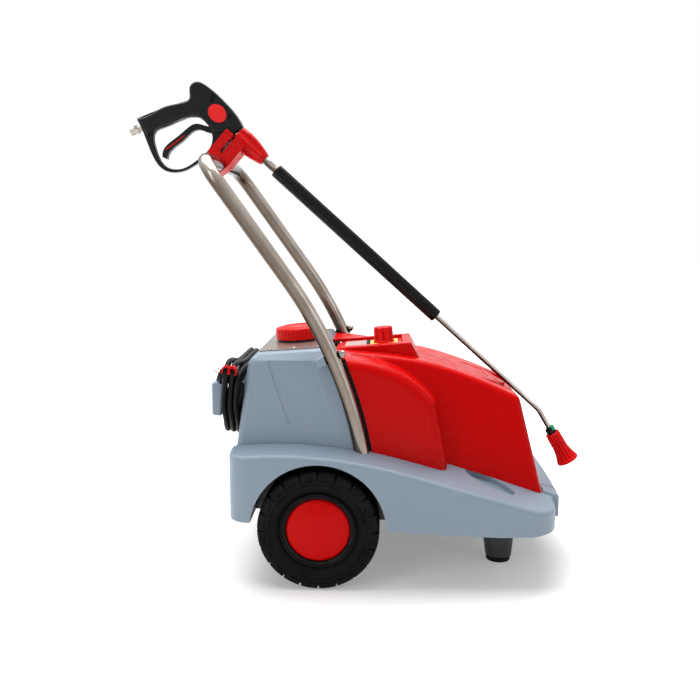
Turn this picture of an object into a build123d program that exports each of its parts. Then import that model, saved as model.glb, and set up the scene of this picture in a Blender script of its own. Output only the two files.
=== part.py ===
"""Cold-water high-pressure washer on two wheels, with trigger gun, lance and wound mains lead.

Millimetres, +Z up, +X forward (the hood's nose), +Y to the machine's left. The pieces are laid out
about the wheel axle, with the floor at Z = 0, and moved together to the object's own origin when
they are written.
"""

import os
from math import asin, atan2, cos, degrees, pi, radians, sin, sqrt, tan

from build123d import *

# ---------------------------------------------------------------------------
# Driving dimensions
# ---------------------------------------------------------------------------

seam = 0.3  # gap between shells that meet, and between soft or curved parts that touch
shaft_fit = 0.05  # radial clearance of a turning fit
bolt_clearance = 0.4  # radial clearance of a fastener in its hole

# Running gear
wheel_radius = 130.0
wheel_track = 483.0  # between the middle planes of the two wheels
tyre_width = 85.0
tyre_seat_radius = 82.0
tread_depth = 9.0
tread_lugs = 20
tread_gap = 5.0
hub_cap_radius = 67.6
rim_web = 8.0
axle_radius = 10.0
bush_wall = 3.0
bush_length = 18.0
bush_flange = 2.0
spacer_radius = 14.0

# Chassis shell
chassis_half_width = 280.0
chassis_wall = 5.0
chassis_rear = -192.0
nose_front = 518.0
deck_slope = 8.1  # degrees, the shoulders' rise towards the middle
deck_crown_half_width = 165.0  # the shoulders rise as far in as this
skirt_rear_height = 147.0
skirt_front_height = 121.5
skirt_arch_height = 133.0
arch_radius = 144.5
arch_inner_face = 192.0
deck_edge_radius = 10.0
tray_height = 281.0  # the flat tray that the tank stands in
tray_front = 76.0
tub_rear = 100.0
tub_front = 462.0
tub_half_width = 148.0
tub_floor = 150.0

# Steel subframe and feet
plate_thickness = 4.0
subframe_rear = -36.0
subframe_front = 445.0
subframe_half_width = 144.0
subframe_depth = 38.0
foot_x = 404.0
foot_y = 95.0
pad_radius = 27.5
pad_height = 13.0

# Push handle
tube_radius = 15.75
tube_wall = 2.0
handle_half_width = 209.0
handle_foot_x = 92.1
handle_foot_height = 272.0
handle_foot_lean = 9.5  # degrees from the vertical
handle_top_lean = 35.3
handle_arc_radius = 920.0
handle_top_height = 902.0
handle_corner_radius = 58.0
handle_bolt_height = 489.0
handle_bolt_radius = 4.0

# Water tank
tank_wall = 4.0
tank_foot_half_width = 212.0
tank_shoulder_half_width = 198.0
tank_shoulder_height = 478.0
tank_top_slope = 4.0  # degrees
tank_top_rear_height = 493.0
tank_corner_radius = 14.0
plate_half_width = 155.0
filler_x = -61.0
filler_bore = 46.0
cap_radius = 57.5
cap_height = 21.0
neck_height = 4.0

# Hood
hood_wall = 3.5
hood_foot_half_width = 166.0
hood_draft = 9.8  # degrees, the main sides' lean
hood_nose_foot = 488.0
hood_edge_radius = 14.0
pod_half_width = 206.0
pod_edge_radius = 22.0
console_half_width = 80.0
console_trough_half_width = 60.0
console_trough_depth = 7.0
knob_x = 136.0
knob_radius = 23.7
knob_height = 29.0


# ---------------------------------------------------------------------------
# Shared helpers
# ---------------------------------------------------------------------------

pieces = []


def finish(piece, label):
    """Name a finished piece and keep it for writing."""
    piece.part.label = label
    pieces.append(piece)
    return piece


def mirrored(piece):
    """The same piece on the machine's other side."""
    with BuildPart() as twin:
        mirror(piece.part, about=Plane.XZ)
    return twin


def along_y(x, y, z, outward=-1):
    """A plane across the Y axis at a point, facing outward on that side."""
    return Plane(origin=(x, y, z), x_dir=(-outward, 0, 0), z_dir=(0, outward, 0))

# ---------------------------------------------------------------------------
# Chassis shell: one open-bottomed moulding with a sunk tub for the motor and pump
# ---------------------------------------------------------------------------

# The deck's outer edge seen from the side, from the rear to the nose.
deck_outline = ((-198, 284), (-80, 292.5), (89, 277), (262, 234), (420, 187), (538, 150))
deck_crown_rise = (chassis_half_width - deck_crown_half_width) * tan(radians(deck_slope))


def deck_body(lift=0.0):
    """Everything below the deck: its shoulders slope up to a level crown in the middle."""
    edge = [(x, z + lift) for x, z in deck_outline]
    rear, nose = edge[0][0], edge[-1][0]
    with BuildPart() as body:
        with BuildSketch(Plane.XZ):
            with BuildLine():
                Spline(*[(x, z + deck_crown_rise) for x, z in edge])
                Polyline((nose, edge[-1][1] + deck_crown_rise), (nose, 0), (rear, 0))
                Line((rear, 0), (rear, edge[0][1] + deck_crown_rise))
            make_face()
        extrude(amount=chassis_half_width, both=True)
        for side in (-1, 1):
            with BuildSketch(Plane.XZ.offset(-side * chassis_half_width)):
                with BuildLine():
                    Spline(*edge)
                    Polyline(edge[-1], (nose, 600), (rear, 600), edge[0])
                make_face()
            shoulder = chassis_half_width - deck_crown_half_width
            inward = (0, -side * cos(radians(deck_slope)), sin(radians(deck_slope)))
            extrude(amount=shoulder / cos(radians(deck_slope)), dir=inward, mode=Mode.SUBTRACT)
    return body


nose_corner = (500.0, 268.0)
nose_corner_radius = 65.0
rear_corner_radius = 45.0
side_taper_start = 300.0


def plan_view(inset=0.0):
    """The chassis seen from above, drawn inside its outer face by the inset."""
    x, y = nose_corner
    with BuildSketch() as plan:
        with BuildLine():
            ThreePointArc((x, -y), (nose_front, 0), (x, y))
            Polyline(
                (x, y),
                (side_taper_start, chassis_half_width),
                (chassis_rear, chassis_half_width),
                (chassis_rear, -chassis_half_width),
                (side_taper_start, -chassis_half_width),
                (x, -y),
            )
        make_face()
        fillet(plan.vertices().sort_by(Axis.X)[:2], rear_corner_radius)
        fillet(plan.vertices().sort_by(Axis.X)[-2:], nose_corner_radius)
        if inset:
            offset(amount=-inset, kind=Kind.INTERSECTION, mode=Mode.REPLACE)
    return plan.sketch


tray_half_width = tank_foot_half_width + 1
tray_rear = -150.0 - 60.0
arch_outer_radius = arch_radius + chassis_wall
skirt_nose_height = 131.0
axle_notch = 24.0
socket_boss_wall = 6.0
scoop_centre = (369.0, 189.0)
scoop_length = 57.0
scoop_width = 25.0
scoop_turn = 27.0  # degrees
scoop_depth = 13.0
pad_lift = 6.0
pad_half_width = 160.0
pad_rear = hood_nose_foot + 3.0
pad_front = nose_front + 11.0
pad_edge_radius = 4.0
pad_groove = 5.0
pad_groove_depth = 2.5
pad_groove_spacing = 220.0


def handle_point(lean):
    """A point of the right leg's centre arc, where it leans so far from the vertical."""
    turn = radians(lean)
    foot = radians(handle_foot_lean)
    x = handle_foot_x + handle_arc_radius * (cos(turn) - cos(foot))
    z = handle_foot_height + handle_arc_radius * (sin(turn) - sin(foot))
    return x, -handle_half_width, z


def handle_plane(lean, side=-1):
    """A plane across one leg of the handle, facing up along it."""
    x, y, z = handle_point(lean)
    turn = radians(lean)
    return Plane(origin=(x, -side * y, z), x_dir=(0, 1, 0), z_dir=(-sin(turn), 0, cos(turn)))


# The middle of the arc that both legs follow, in X and Z.
handle_centre = (
    handle_foot_x - handle_arc_radius * cos(radians(handle_foot_lean)),
    handle_foot_height - handle_arc_radius * sin(radians(handle_foot_lean)),
)


def behind_handle(z, radius):
    """The X of an arc that runs beside the handle's legs, at a height."""
    return handle_centre[0] + sqrt(radius**2 - (z - handle_centre[1]) ** 2)


# ---------------------------------------------------------------------------
# Running gear: the right wheel is made, the left one is its mirror image
# ---------------------------------------------------------------------------

wheel_middle = -wheel_track / 2
# Wheel sections are drawn outwards from the wheel's middle plane, and up from the axle's middle.
wheel_section = Plane(origin=(0, wheel_middle, wheel_radius), x_dir=(0, -1, 0), z_dir=(-1, 0, 0))
axle_line = Axis((0, 0, wheel_radius), (0, 1, 0))
tyre_side = tyre_width / 2
bead_half_width = 30.0
sidewall_ring_radii = (91.0, 97.0, 103.0)
sidewall_ring_size = 1.4
shoulder_slot = (8.0, 25.0)  # each wedge's width at the tread, and how far down the side it runs
shoulder_slot_depth = 5.0
shoulder_pocket = (14.0, 4.0)
shoulder_pocket_radius = 113.0
shoulder_pocket_depth = 3.0

with BuildPart() as tyre_right:
    with BuildSketch(wheel_section):
        with BuildLine():
            Line((-bead_half_width, tyre_seat_radius), (bead_half_width, tyre_seat_radius))
            Line((bead_half_width, tyre_seat_radius), (tyre_side - 4, tyre_seat_radius + 9))
            ThreePointArc(
                (tyre_side - 4, tyre_seat_radius + 9),
                (tyre_side, wheel_radius - 24),
                (tyre_side - 3, wheel_radius - 9),
            )
            ThreePointArc(
                (tyre_side - 3, wheel_radius - 9),
                (tyre_side - 7, wheel_radius - 3),
                (tyre_side - 15, wheel_radius),
            )
            Line((tyre_side - 15, wheel_radius), (0, wheel_radius))
            mirror(about=Plane.YZ)
        make_face()
    revolve(axis=axle_line)
    with BuildSketch(wheel_section):
        for ring_radius in sidewall_ring_radii:
            for side in (-1, 1):
                with Locations((side * (tyre_side - 0.6), ring_radius)):
                    Circle(sidewall_ring_size)
    revolve(axis=axle_line, mode=Mode.SUBTRACT)
    # Two rows of tread blocks, half a pitch apart, with a groove between them.
    for side in (-1, 1):
        with BuildSketch(Plane(origin=(0, wheel_middle, wheel_radius), x_dir=(1, 0, 0), z_dir=(0, side, 0))):
            with PolarLocations(
                wheel_radius - tread_depth / 2 + 1,
                tread_lugs,
                start_angle=(1 + side) * 90 / tread_lugs,
            ):
                Rectangle(tread_depth + 2, tread_gap)
        extrude(amount=tyre_side + 1, mode=Mode.SUBTRACT)
        # Wedges run on down the sidewall from the gaps, with a pocket between each two of them.
        shoulder = Plane(
            origin=(0, wheel_middle + side * (tyre_side + 1), wheel_radius),
            x_dir=(1, 0, 0),
            z_dir=(0, side, 0),
        )
        slot_width, slot_reach = shoulder_slot
        with BuildSketch(shoulder):
            with PolarLocations(wheel_radius + 1, tread_lugs, start_angle=(1 + side) * 90 / tread_lugs):
                Polygon((0, slot_width / 2), (-slot_reach, 0), (0, -slot_width / 2), align=None)
        extrude(amount=-shoulder_slot_depth - 1, mode=Mode.SUBTRACT)
        with BuildSketch(shoulder):
            with PolarLocations(
                shoulder_pocket_radius, tread_lugs, start_angle=(3 + side) * 90 / tread_lugs
            ):
                Rectangle(shoulder_pocket[1], shoulder_pocket[0])
        extrude(amount=-shoulder_pocket_depth - 1, mode=Mode.SUBTRACT)
    with BuildSketch(wheel_section):
        with Locations((0, wheel_radius)):
            Rectangle(7, tread_depth)
    revolve(axis=axle_line, mode=Mode.SUBTRACT)
finish(tyre_right, "tyre_right")
finish(mirrored(tyre_right), "tyre_left")

# The rim is one moulding: hub, web with ribs, and the ring that the tyre sits on.
rim_ring_wall = 9.0
rim_face = 31.0
hub_radius = 24.0
hub_inner_end = -36.0
hub_outer_end = 20.0
bush_seat_radius = axle_radius + shaft_fit + bush_wall
rim_ribs = 8

with BuildPart() as rim_right:
    with BuildSketch(wheel_section):
        with BuildLine():
            Polyline(
                (hub_inner_end, bush_seat_radius),
                (hub_outer_end, bush_seat_radius),
                (hub_outer_end, hub_radius),
                (rim_web / 2, hub_radius + 2),
                (rim_web / 2, hub_cap_radius + 0.4),
                (rim_face - 3, hub_cap_radius + 0.4),
                (rim_face, hub_cap_radius + 2),
                (rim_face + 1, tyre_seat_radius),
                (-bead_half_width, tyre_seat_radius),
                (-bead_half_width, tyre_seat_radius - rim_ring_wall),
                (-rim_web / 2, tyre_seat_radius - rim_ring_wall - 3),
                (-rim_web / 2, hub_radius + 2),
                (hub_inner_end, hub_radius),
                close=True,
            )
        make_face()
    revolve(axis=axle_line)
    web_inside = wheel_middle - rim_web / 2
    with BuildSketch(Plane(origin=(0, web_inside, wheel_radius), x_dir=(1, 0, 0), z_dir=(0, 1, 0))):
        with PolarLocations((hub_radius + tyre_seat_radius - rim_ring_wall) / 2, rim_ribs):
            Rectangle(tyre_seat_radius - rim_ring_wall - hub_radius + 4, 5)
    extrude(amount=24)
finish(rim_right, "rim_right")
finish(mirrored(rim_right), "rim_left")

hub_cap_wall = 3.0
hub_cap_rise = 10.0
dome_radius = hub_cap_radius - 9


def dome(rim_height, top_height):
    """Three points of a round dome, from its rim to its top on the axle's line."""
    rise = top_height - rim_height
    ball = (dome_radius**2 + rise**2) / (2 * rise)
    return (
        (rim_height, dome_radius),
        (top_height - ball + sqrt(ball**2 - (dome_radius / 2) ** 2), dome_radius / 2),
        (top_height, 0),
    )


with BuildPart() as hub_cap_right:
    with BuildSketch(wheel_section):
        with BuildLine():
            Line((rim_web / 2, hub_cap_radius), (rim_face - 2, hub_cap_radius))
            ThreePointArc(
                (rim_face - 2, hub_cap_radius),
                (rim_face + 1.5, hub_cap_radius - 3.5),
                (rim_face + 3.5, hub_cap_radius - 9),
            )
            ThreePointArc(*dome(rim_face + 3.5, rim_face + hub_cap_rise))
            Line((rim_face + hub_cap_rise, 0), (rim_face + hub_cap_rise - hub_cap_wall, 0))
            ThreePointArc(*dome(rim_face - 1, rim_face + hub_cap_rise - hub_cap_wall))
            Line((rim_face - 1, hub_cap_radius - 9), (rim_face - 4, hub_cap_radius - hub_cap_wall))
            Line((rim_face - 4, hub_cap_radius - hub_cap_wall), (rim_web / 2, hub_cap_radius - hub_cap_wall))
            Line((rim_web / 2, hub_cap_radius - hub_cap_wall), (rim_web / 2, hub_cap_radius))
        make_face()
    revolve(axis=axle_line)
finish(hub_cap_right, "hub_cap_right")
finish(mirrored(hub_cap_right), "hub_cap_left")

with BuildPart() as wheel_bushes_right:
    for end, outward in ((hub_inner_end, -1), (hub_outer_end, 1)):
        with BuildSketch(wheel_section):
            with BuildLine():
                Polyline(
                    (end - outward * bush_length, axle_radius + shaft_fit),
                    (end + outward * bush_flange, axle_radius + shaft_fit),
                    (end + outward * bush_flange, hub_radius - 4),
                    (end, hub_radius - 4),
                    (end, bush_seat_radius),
                    (end - outward * bush_length, bush_seat_radius),
                    close=True,
                )
            make_face()
        revolve(axis=axle_line)
finish(wheel_bushes_right, "wheel_bushes_right")
finish(mirrored(wheel_bushes_right), "wheel_bushes_left")

axle_end = rim_face - 4.0
axle_half_length = wheel_track / 2 + axle_end

with BuildPart() as axle:
    with BuildSketch(Plane(origin=(0, -axle_half_length, wheel_radius), x_dir=(1, 0, 0), z_dir=(0, 1, 0))):
        Circle(axle_radius)
    extrude(amount=2 * axle_half_length)
    chamfer(axle.edges().filter_by(GeomType.CIRCLE), 1.2)
finish(axle, "axle")

outer_washer_face = hub_outer_end + bush_flange + seam
spacer_end = wheel_track / 2 + hub_inner_end - bush_flange - seam
with BuildPart() as axle_fittings:
    for side in (-1, 1):
        section = Plane(
            origin=(0, side * wheel_track / 2, wheel_radius),
            x_dir=(0, side, 0),
            z_dir=(side, 0, 0),
        )
        with BuildSketch(section):
            with BuildLine():
                Polyline(
                    (outer_washer_face, axle_radius),
                    (outer_washer_face, hub_radius - 6),
                    (outer_washer_face + 1.6, hub_radius - 6),
                    (outer_washer_face + 1.6, axle_radius + 4),
                    (axle_end, axle_radius + 2),
                    (axle_end + 2.5, axle_radius - 3),
                    (axle_end + 2.5, 0),
                    (axle_end, 0),
                    (axle_end, axle_radius),
                    close=True,
                )
            make_face()
        revolve(axis=axle_line)
        with BuildSketch(along_y(0, side * subframe_half_width, wheel_radius, side)):
            Circle(spacer_radius)
            Circle(axle_radius, mode=Mode.SUBTRACT)
        extrude(amount=spacer_end - subframe_half_width)
finish(axle_fittings, "axle_fittings")

# ---------------------------------------------------------------------------
# Steel subframe under the shell, its bolts, and the front feet
# ---------------------------------------------------------------------------

subframe_top = tub_floor - chassis_wall
frame_bolt_radius = 4.0
frame_bolt_y = tub_half_width - 20.0
frame_bolt_places = [(tub_rear + 16, frame_bolt_y), (foot_x - 62, frame_bolt_y)]
motor_middle = 235.0
mount_spacing = (55.0, 60.0)  # half the spacing along and across
mount_places = [(motor_middle + along, mount_spacing[1]) for along in (-mount_spacing[0], mount_spacing[0])]
mount_radius = 14.0
mount_stud = 4.0
foot_top_length = 84.0
foot_top_width = 64.0
foot_base_radius = pad_radius + 1.5

with BuildPart() as subframe:
    with BuildSketch(Plane.YZ.offset(subframe_rear)):
        with BuildLine():
            FilletPolyline(
                (-subframe_half_width, subframe_top - subframe_depth),
                (-subframe_half_width, subframe_top),
                (subframe_half_width, subframe_top),
                (subframe_half_width, subframe_top - subframe_depth),
                radius=8,
            )
            offset(amount=plate_thickness, side=Side.RIGHT, closed=True)
        make_face()
    extrude(amount=subframe_front - subframe_rear)
    with BuildSketch(Plane.XZ):
        with Locations((0, wheel_radius)):
            Circle(axle_radius + seam / 2)
    extrude(amount=subframe_half_width + 5, both=True, mode=Mode.SUBTRACT)
    bolt_places = frame_bolt_places + mount_places
    with Locations(*[Location((x, side * y, subframe_top)) for x, y in bolt_places for side in (-1, 1)]):
        Hole(frame_bolt_radius + bolt_clearance, depth=2 * plate_thickness)
finish(subframe, "subframe")

with BuildPart() as frame_bolts:
    for side in (-1, 1):
        for x, y in frame_bolt_places:
            with BuildSketch(Plane(origin=(x, side * y, tub_floor), z_dir=(0, 0, 1))):
                RegularPolygon(frame_bolt_radius * 1.7, 6)
            extrude(amount=5)
            with BuildSketch(Plane(origin=(x, side * y, tub_floor), z_dir=(0, 0, -1))):
                Circle(frame_bolt_radius)
            extrude(amount=chassis_wall + plate_thickness + 9)
            with BuildSketch(Plane(origin=(x, side * y, subframe_top - plate_thickness), z_dir=(0, 0, -1))):
                RegularPolygon(frame_bolt_radius * 1.7, 6)
            extrude(amount=6)
finish(frame_bolts, "frame_bolts")

with BuildPart() as foot_bracket:
    with BuildSketch(Plane(origin=(foot_x - 4, -foot_y, subframe_top - plate_thickness), z_dir=(0, 0, 1))):
        RectangleRounded(foot_top_length, foot_top_width, 10)
    with BuildSketch(Plane(origin=(foot_x, -foot_y, pad_height), z_dir=(0, 0, 1))):
        RectangleRounded(2 * foot_base_radius, 2 * foot_base_radius, 22)
    loft()
    with BuildSketch(Plane(origin=(foot_x, -foot_y, pad_height), z_dir=(0, 0, 1))):
        Circle(4)
    extrude(amount=12, mode=Mode.SUBTRACT)
with BuildPart() as foot_brackets:
    add(foot_bracket.part)
    mirror(foot_bracket.part, about=Plane.XZ)
finish(foot_brackets, "foot_brackets")

with BuildPart() as foot_pads:
    for side in (-1, 1):
        with BuildSketch(Plane(origin=(foot_x, side * foot_y, 0), z_dir=(0, 0, 1))):
            Circle(pad_radius)
        extrude(amount=pad_height)
        with BuildSketch(Plane(origin=(foot_x, side * foot_y, pad_height), z_dir=(0, 0, 1))):
            Circle(4 - seam / 2)
        extrude(amount=10)
    fillet(foot_pads.edges().group_by(Axis.Z)[0], 2.5)
finish(foot_pads, "foot_pads")

# ---------------------------------------------------------------------------
# Push handle: one bent stainless tube, bolted to the tank's front wall
# ---------------------------------------------------------------------------

foot_point = handle_point(handle_foot_lean)
mid_point = handle_point((handle_foot_lean + handle_top_lean) / 2)
arc_end = handle_point(handle_top_lean)
top_run = (handle_top_height - arc_end[2]) / cos(radians(handle_top_lean))
handle_top_x = arc_end[0] - top_run * sin(radians(handle_top_lean))
bolt_lean = degrees(asin((handle_bolt_height - handle_foot_height) / handle_arc_radius
                         + sin(radians(handle_foot_lean))))


def other_side(point):
    return point[0], -point[1], point[2]


with BuildPart() as handle_tube:
    with BuildLine() as handle_path:
        ThreePointArc(foot_point, mid_point, arc_end)
        FilletPolyline(
            arc_end,
            (handle_top_x, -handle_half_width, handle_top_height),
            (handle_top_x, handle_half_width, handle_top_height),
            other_side(arc_end),
            radius=handle_corner_radius,
        )
        ThreePointArc(other_side(arc_end), other_side(mid_point), other_side(foot_point))
    with BuildSketch(handle_plane(handle_foot_lean)):
        Circle(tube_radius)
        Circle(tube_radius - tube_wall, mode=Mode.SUBTRACT)
    sweep()
    for side in (-1, 1):
        with BuildSketch(Plane(handle_plane(bolt_lean, side).origin, x_dir=(0, 1, 0),
                               z_dir=(cos(radians(bolt_lean)), 0, sin(radians(bolt_lean))))):
            Circle(handle_bolt_radius + bolt_clearance)
        extrude(amount=tube_radius + 1, both=True, mode=Mode.SUBTRACT)
finish(handle_tube, "handle_tube")

# Each leg is held by a bolt into the tank, under a black washer and a dome nut.
nut_radius = 8.2
nut_height = 6.5
dome_rise = 6.0
washer_radius = 9.5
washer_thickness = 2.2
bolt_depth = 14.0


def handle_bolt_plane(side, out):
    """A plane across one of the handle's bolts, some way out from the leg's middle."""
    turn = radians(bolt_lean)
    ahead = (cos(turn), 0, sin(turn))
    return Plane(handle_plane(bolt_lean, side).origin, x_dir=(0, 1, 0), z_dir=ahead).offset(out)


with BuildPart() as handle_washers:
    for side in (-1, 1):
        with BuildSketch(handle_bolt_plane(side, tube_radius)):
            Circle(washer_radius)
            Circle(handle_bolt_radius, mode=Mode.SUBTRACT)
        extrude(amount=washer_thickness)
finish(handle_washers, "handle_washers")

with BuildPart() as handle_bolts:
    for side in (-1, 1):
        face = tube_radius + washer_thickness
        with BuildSketch(handle_bolt_plane(side, face)):
            RegularPolygon(nut_radius, 6)
        extrude(amount=nut_height)
        section = handle_bolt_plane(side, face + nut_height)
        with BuildSketch(Plane(section.origin, x_dir=section.z_dir, z_dir=section.y_dir)):
            with BuildLine():
                Line((0, 0), (0, nut_radius - 1))
                ThreePointArc((0, nut_radius - 1), (dome_rise * 0.72, (nut_radius - 1) * 0.7), (dome_rise, 0))
                Line((dome_rise, 0), (0, 0))
            make_face()
        revolve(axis=Axis(section.origin, section.z_dir))
        with BuildSketch(handle_bolt_plane(side, face)):
            Circle(handle_bolt_radius)
        extrude(amount=-(face + tube_radius + bolt_depth))
finish(handle_bolts, "handle_bolts")

# ---------------------------------------------------------------------------
# Water tank with its stainless top, filler, float valve and cable lugs
# ---------------------------------------------------------------------------

tank_foot = tray_height + seam
tank_rear_foot = -184.0
tank_rear_lean = 8.35  # degrees, forward of the vertical
tank_top_reference = -126.0
tank_rear_top_radius = 30.0
tank_bevel = 44.0
panel_depth = 2.0
tank_front_radius = handle_arc_radius - tube_radius - seam
tank_side_spread = tank_foot_half_width - tank_shoulder_half_width
tank_side_lean = degrees(atan2(tank_side_spread, tank_shoulder_height - tank_foot))


def tank_top(x):
    """The height of the tank's sloping top."""
    return tank_top_rear_height + (x - tank_top_reference) * tan(radians(tank_top_slope))


def tank_rear(z):
    """The X of the tank's leaning rear wall at a height."""
    return tank_rear_foot + (z - tank_foot) * tan(radians(tank_rear_lean))


def tank_body(inset):
    """The tank's outside, drawn in by the inset: a side outline crossed with a front outline."""
    rear_top = tank_rear(tank_top(-153))
    front_top = behind_handle(tank_top(5), tank_front_radius)
    middle = (tank_foot + tank_top(5)) / 2
    with BuildPart() as body:
        with BuildSketch(Plane.XZ):
            with BuildLine():
                Polyline(
                    (behind_handle(tank_foot, tank_front_radius), tank_foot),
                    (tank_rear_foot, tank_foot),
                    (rear_top, tank_top(rear_top)),
                    (front_top, tank_top(front_top)),
                )
                ThreePointArc(
                    (front_top, tank_top(front_top)),
                    (behind_handle(middle, tank_front_radius), middle),
                    (behind_handle(tank_foot, tank_front_radius), tank_foot),
                )
            make_face()
            fillet(vertices().sort_by(Axis.X)[:2].sort_by(Axis.Y)[-1], tank_rear_top_radius)
            if inset:
                offset(amount=-inset, kind=Kind.INTERSECTION, mode=Mode.REPLACE)
        extrude(amount=tank_foot_half_width + 10, both=True)
        with BuildSketch(Plane.YZ):
            with BuildLine():
                Polyline(
                    (-tank_foot_half_width, tank_foot),
                    (-tank_shoulder_half_width, tank_shoulder_height),
                    (tank_bevel - tank_shoulder_half_width, tank_shoulder_height + tank_bevel),
                    (tank_shoulder_half_width - tank_bevel, tank_shoulder_height + tank_bevel),
                    (tank_shoulder_half_width, tank_shoulder_height),
                    (tank_foot_half_width, tank_foot),
                    close=True,
                )
            make_face()
            if inset:
                offset(amount=-inset, kind=Kind.INTERSECTION, mode=Mode.REPLACE)
        extrude(amount=300, both=True, mode=Mode.INTERSECT)
        rim = body.edges().filter_by(lambda edge: abs(edge.center().Y) > 100 and edge.center().X < 5)
        fillet(rim.filter_by(lambda edge: edge.center().Z > tank_foot + 5), tank_corner_radius - inset)
    return body


def side_panel_plane(side):
    """The tank's leaning side wall."""
    lean = radians(tank_side_lean)
    return Plane(
        origin=(0, side * tank_foot_half_width, tank_foot),
        x_dir=(-side, 0, 0),
        z_dir=(0, side * cos(lean), sin(lean)),
    )


tank_top_plane = Plane(
    origin=(filler_x, 0, tank_top(filler_x)),
    x_dir=(cos(radians(tank_top_slope)), 0, sin(radians(tank_top_slope))),
    z_dir=(-sin(radians(tank_top_slope)), 0, cos(radians(tank_top_slope))),
)
tank_top_axis = Axis(tank_top_plane.origin, tank_top_plane.z_dir)
neck_wall = 3.5
neck_hole_radius = filler_bore + neck_wall + seam
float_place = (-118.0, 90.0)
suction_place = (36.0, 100.0)
port_radius = 12.0
bolt_block_width = 50.0
bolt_block_height = 20.0
bolt_block_middle = handle_half_width + washer_radius - bolt_block_width / 2
# The sunk panel in each side, in X and in height up the wall; it runs out at the bevel.
panel_outline = ((-127, 240), (-68, 60), (30, 60), (-31, 240))

screw_radius = 2.5
screw_places = [(x, side * (plate_half_width - 13)) for x in (-54.0, 0.0, 54.0) for side in (-1, 1)]

with BuildPart() as water_tank:
    add(tank_body(0).part)
    for side in (-1, 1):
        with BuildSketch(side_panel_plane(side)):
            with BuildLine():
                Polyline(*[(-side * x, z) for x, z in panel_outline], close=True)
            make_face()
            fillet(vertices(), 11)
        extrude(amount=-panel_depth, mode=Mode.SUBTRACT)
    add(tank_body(tank_wall).part, mode=Mode.SUBTRACT)
    with BuildSketch(tank_top_plane):
        Circle(neck_hole_radius)
        with Locations(*screw_places):
            Circle(screw_radius)
    extrude(amount=-2 * tank_wall, mode=Mode.SUBTRACT)
    for place in (float_place, suction_place):
        with BuildSketch(Plane.XY.offset(tank_foot)):
            with Locations(place):
                Circle(port_radius + seam)
        extrude(amount=tank_wall, mode=Mode.SUBTRACT)
    # A block behind each leg takes the handle's bolt.
    for side in (-1, 1):
        with BuildSketch(handle_bolt_plane(side, -tube_radius - seam)):
            with Locations((-side * (handle_half_width - bolt_block_middle), 0)):
                RectangleRounded(bolt_block_width, bolt_block_height, 5)
        extrude(amount=-bolt_depth - 5)
        with BuildSketch(handle_bolt_plane(side, -tube_radius)):
            Circle(handle_bolt_radius)
        extrude(amount=-bolt_depth, mode=Mode.SUBTRACT)
finish(water_tank, "water_tank")

# The stainless plate lies on the tank's top and carries the filler.
plate_length = 129.0
plate_sheet = 1.5
screw_head_radius = 4.6
screw_head_height = 2.6

with BuildPart() as tank_top_plate:
    with BuildSketch(tank_top_plane):
        RectangleRounded(plate_length, 2 * plate_half_width, 6)
        Circle(neck_hole_radius, mode=Mode.SUBTRACT)
        with Locations(*screw_places):
            Circle(screw_radius + bolt_clearance / 2, mode=Mode.SUBTRACT)
    extrude(amount=plate_sheet)
finish(tank_top_plate, "tank_top_plate")

with BuildPart() as plate_screws:
    with BuildSketch(tank_top_plane.offset(plate_sheet)):
        with Locations(*screw_places):
            Circle(screw_head_radius)
    extrude(amount=screw_head_height)
    chamfer(plate_screws.edges().filter_by(GeomType.CIRCLE).group_by(tank_top_axis)[-1], 1)
    with BuildSketch(tank_top_plane.offset(plate_sheet + screw_head_height)):
        with Locations(*screw_places):
            RegularPolygon(2.2, 6)
    extrude(amount=-1.4, mode=Mode.SUBTRACT)
    with BuildSketch(tank_top_plane.offset(plate_sheet)):
        with Locations(*screw_places):
            Circle(screw_radius)
    extrude(amount=-plate_sheet - tank_wall)
finish(plate_screws, "plate_screws")

neck_flange_radius = 54.0
neck_upstand = 13.0
cap_wall = 3.0
neck_depth = 24.0

with BuildPart() as filler_neck:
    with BuildSketch(tank_top_plane.offset(plate_sheet)):
        Circle(neck_flange_radius)
    extrude(amount=neck_height)
    with BuildSketch(tank_top_plane.offset(plate_sheet + neck_height)):
        Circle(filler_bore + neck_wall)
    extrude(amount=neck_upstand)
    with BuildSketch(tank_top_plane.offset(plate_sheet)):
        Circle(filler_bore + neck_wall)
    extrude(amount=-neck_depth)
    with BuildSketch(tank_top_plane.offset(-neck_depth)):
        Circle(filler_bore)
    extrude(amount=100, mode=Mode.SUBTRACT)
finish(filler_neck, "filler_neck")

# The screw cap: a ribbed rim, a raised disc with a sunk middle.
cap_base = plate_sheet + neck_height + seam
cap_ribs = 36
cap_disc_radius = 43.0
cap_disc_rise = 4.0
cap_rim_height = cap_height - cap_disc_rise

with BuildPart() as filler_cap:
    with BuildSketch(tank_top_plane.offset(cap_base)):
        Circle(cap_radius)
    extrude(amount=cap_rim_height)
    fillet(filler_cap.edges().group_by(Axis(tank_top_plane.origin, tank_top_plane.z_dir))[-1], 3.5)
    with BuildSketch(tank_top_plane.offset(cap_base)):
        with PolarLocations(cap_radius, cap_ribs):
            Circle(1.6)
    extrude(amount=cap_rim_height - 5, mode=Mode.SUBTRACT)
    with BuildSketch(tank_top_plane.offset(cap_base + cap_rim_height)):
        Circle(cap_disc_radius)
    extrude(amount=cap_disc_rise, taper=20)
    with BuildSketch(tank_top_plane.offset(cap_base + cap_height)):
        Circle(cap_disc_radius - 9)
    extrude(amount=-2.5, mode=Mode.SUBTRACT)
    with BuildSketch(tank_top_plane.offset(cap_base)):
        Circle(filler_bore + neck_wall + 1)
    extrude(amount=neck_upstand + seam, mode=Mode.SUBTRACT)
finish(filler_cap, "filler_cap")

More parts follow.
